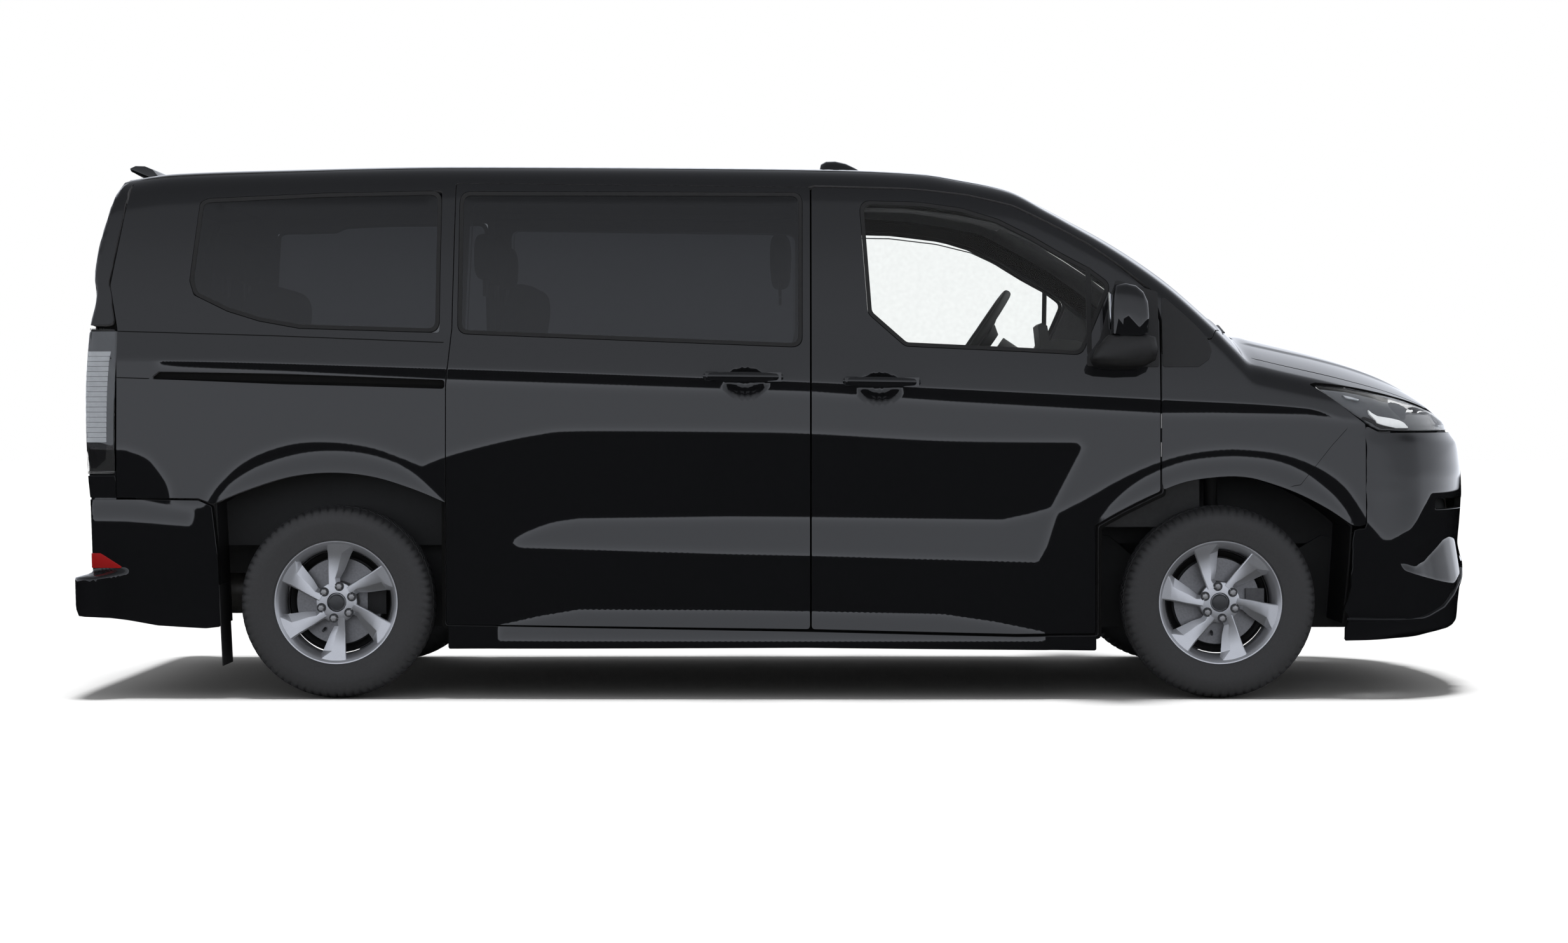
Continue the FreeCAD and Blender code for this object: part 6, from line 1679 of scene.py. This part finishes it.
# The linings. A moulded grey headliner under the roof, black carpet on the floor, and grey boards
# on the side walls of the load space above the wheel houses.
lining_work = Sheetwork()
panel(lining_work, on_top, [(-2.28, -0.74), (0.86, -0.66), (0.87, 0.0), (0.86, 0.66), (-2.28, 0.74)],
      near=0.036,
      far=0.048, corner=0.05, spacing=(0.2, 0.1), rim_step=0.05)
make_piece("headliner", lining_work, [grey_lining], "body", ())
carpet = Shape()
carpet_low, carpet_high, carpet_edge = 0.5605, 0.568, 0.002
carpet.block((-2.28, -0.66, carpet_low), (1.1, 0.66, carpet_high), carpet_edge)
carpet.block((1.09, -0.46, carpet_low + 0.0001), (1.46, 0.46, carpet_high - 0.0001), carpet_edge)
carpet_cloth = procedural("carpet_cloth", (0.022, 0.022, 0.023), 0.95, bump=0.9, bump_grain=1200.0)
carpet.done("carpet", [carpet_cloth], "body", (), "dark_trim")

load_back = -2.285
load_lining = Shape()
for side in (-1, 1):
    load_lining.prism([(load_back, 0.56), (-1.998, 0.56), (-1.998, 0.685), (-1.9, 0.737), (-1.79, 0.777),
                       (-1.68, 0.797),
                       (-1.57, 0.804), (-1.45, 0.787), (-1.34, 0.763), (-1.2, 0.694), (-1.15, 0.65),
                       (-1.15, 1.26), (load_back, 1.26)], "y", side * 0.885, side * 0.889, 0.001)
load_lining.done("load_lining", [grey_lining], "body", (), "dark_trim")

# Frames behind the panel gaps. Folded steel flanges painted with the body, which close the gaps round
# the tailgate and under the lamps, and a short corner panel below each tail lamp.
gate_frame = Sheetwork()
gate_line = mirrored_ends(gate_half)
panel(gate_frame, on_rear, grown(gate_line, 0.02), [grown(gate_line, -0.05)], near=0.03, far=0.044,
      corner=0.03,
      hole_corner=0.03, spacing=(0.06, 0.06), rim_step=0.03)
make_piece("tailgate_frame", gate_frame, [matt_black_and_seam_shade], "body", ())
corner_work = Sheetwork()
panel(corner_work, on_rear, on_rear.by_side([(-2.3435, 0.7065), (-2.3435, 0.783)])
      + on_rear.by_face([(lamp_inner_y, 0.783), (lamp_inner_y, 0.7065)]), far=0.02, corner=0.004,
      spacing=(0.03, 0.01))
panel(corner_work, on_rear, on_rear.by_side([(-2.342, 0.69), (-2.342, 0.8)])
      + on_rear.by_face([(lamp_inner_y, 0.8), (lamp_inner_y, 0.69)]), near=0.004, far=0.018, corner=0.004,
      spacing=(0.03, 0.02))
both_sides("rear_corner", corner_work, [black_paint], fixed, ())

# Seams and grooves. The join lines of the side pressings are thin dull black strips laid flush in the paint:
# painted shade standing in for the shade inside real grooves. Also the rounded lip along the foot of the
# front bumper.
seam_shade_work = Sheetwork()


def painted_seam_shade(points, width):
    # A flat dark line of even width along the side: painted shade where a groove would hold its own shade.
    upper = [(x, z + width / 2) for x, z in points]
    lower = [(x, z - width / 2) for x, z in points]
    panel(seam_shade_work, on_side, side_line(lower + upper[::-1]), near=-0.0004, far=0.0008, corner=0.0005,
          edge=0.0002, spacing=(0.05, 0.05))


painted_seam_shade([(-2.34, 1.29), (-1.8, 1.274), (-1.192, 1.25)], 0.0034)
painted_seam_shade([(-2.342, 1.127), (-2.225, 1.1235)], 0.0034)
painted_seam_shade([(1.768, 0.745), (1.807, 0.752), (1.855, 0.812), (1.915, 0.888), (1.973, 0.952)], 0.0022)
both_sides("body_seam_shade", seam_shade_work, [matt_black_and_seam_shade], fixed, ())
lip = Shape()
lip_marks = on_front.by_side([(1.97, 0.281), (2.05, 0.28), (2.15, 0.279), (2.245, 0.28), (2.27, 0.287),
                              (2.31, 0.315), (2.36, 0.357), (2.42, 0.408), (2.455, 0.44)])
lip_path = [creased_bumper(np.array([u]), np.array([z]))[0] for u, z in lip_marks]
lip.swept([tuple(p) for p in lip_path], oval(0.008, 0.0065, 10), (0, 0, 1))
lip.pair("bumper_lip", [black_paint], fixed, (), "black_paint", hands=left_first)

# The wipers. Two black arms on round spindles in the scuttle panel, parked along the foot of the
# windscreen.
wipers = Shape()
for pivot_y, tip_y in ((0.62, -0.05), (-0.08, -0.7)):
    path = [on_top(np.array([x]), np.array([y]))[0] + (0, 0, lift)
            for x, y, lift in ((1.632, pivot_y, 0.0), (1.624, pivot_y - 0.06, 0.007),
                               (1.598, (pivot_y + tip_y) / 2, 0.006), (1.578, tip_y, 0.005))]
    wipers.swept([tuple(p) for p in path], oval(0.007, 0.005, 10), (0, 0, 1), scales=[1.4, 1.2, 0.8, 0.5])
    wipers.turned(tuple(path[0] - (0, 0, 0.012)), (0, 0, 1),
                  [(0.0, 0.0), (0.0, 0.014), (0.014, 0.012), (0.017, 0.0)], 20)
wipers.done("wipers", [matt_black], "body", (), "black_plastic")

# Underneath and inside. The floor and rails are coated black, the power unit is cast metal, the tank is
# black plastic and the exhaust is dull steel.
underbody = procedural("underbody", (0.016, 0.016, 0.017), 0.75, bump=0.5, bump_grain=300.0)
cast_metal = procedural("cast_metal", (0.16, 0.16, 0.165), 0.55, metallic=0.7, bump=0.6, bump_grain=500.0)
bare_steel = procedural("bare_steel", (0.3, 0.29, 0.28), 0.35, metallic=0.9, spread=0.12, grain=40.0)
plain_finish = {"floor_pan": underbody, "wheel_houses": matt_black, "chassis_frame": underbody,
                "bulkhead": underbody,
                "front_suspension": underbody, "rear_axle": underbody, "mud_flaps": rubber,
                "fuel_tank": matt_black, "engine": cast_metal, "knuckle_right": cast_metal,
                "knuckle_left": cast_metal, "exhaust": bare_steel, "hinges": bare_steel}
for node, material in plain_finish.items():
    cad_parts[node].data.materials.clear()
    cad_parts[node].data.materials.append(material)

bpy.context.view_layer.update()
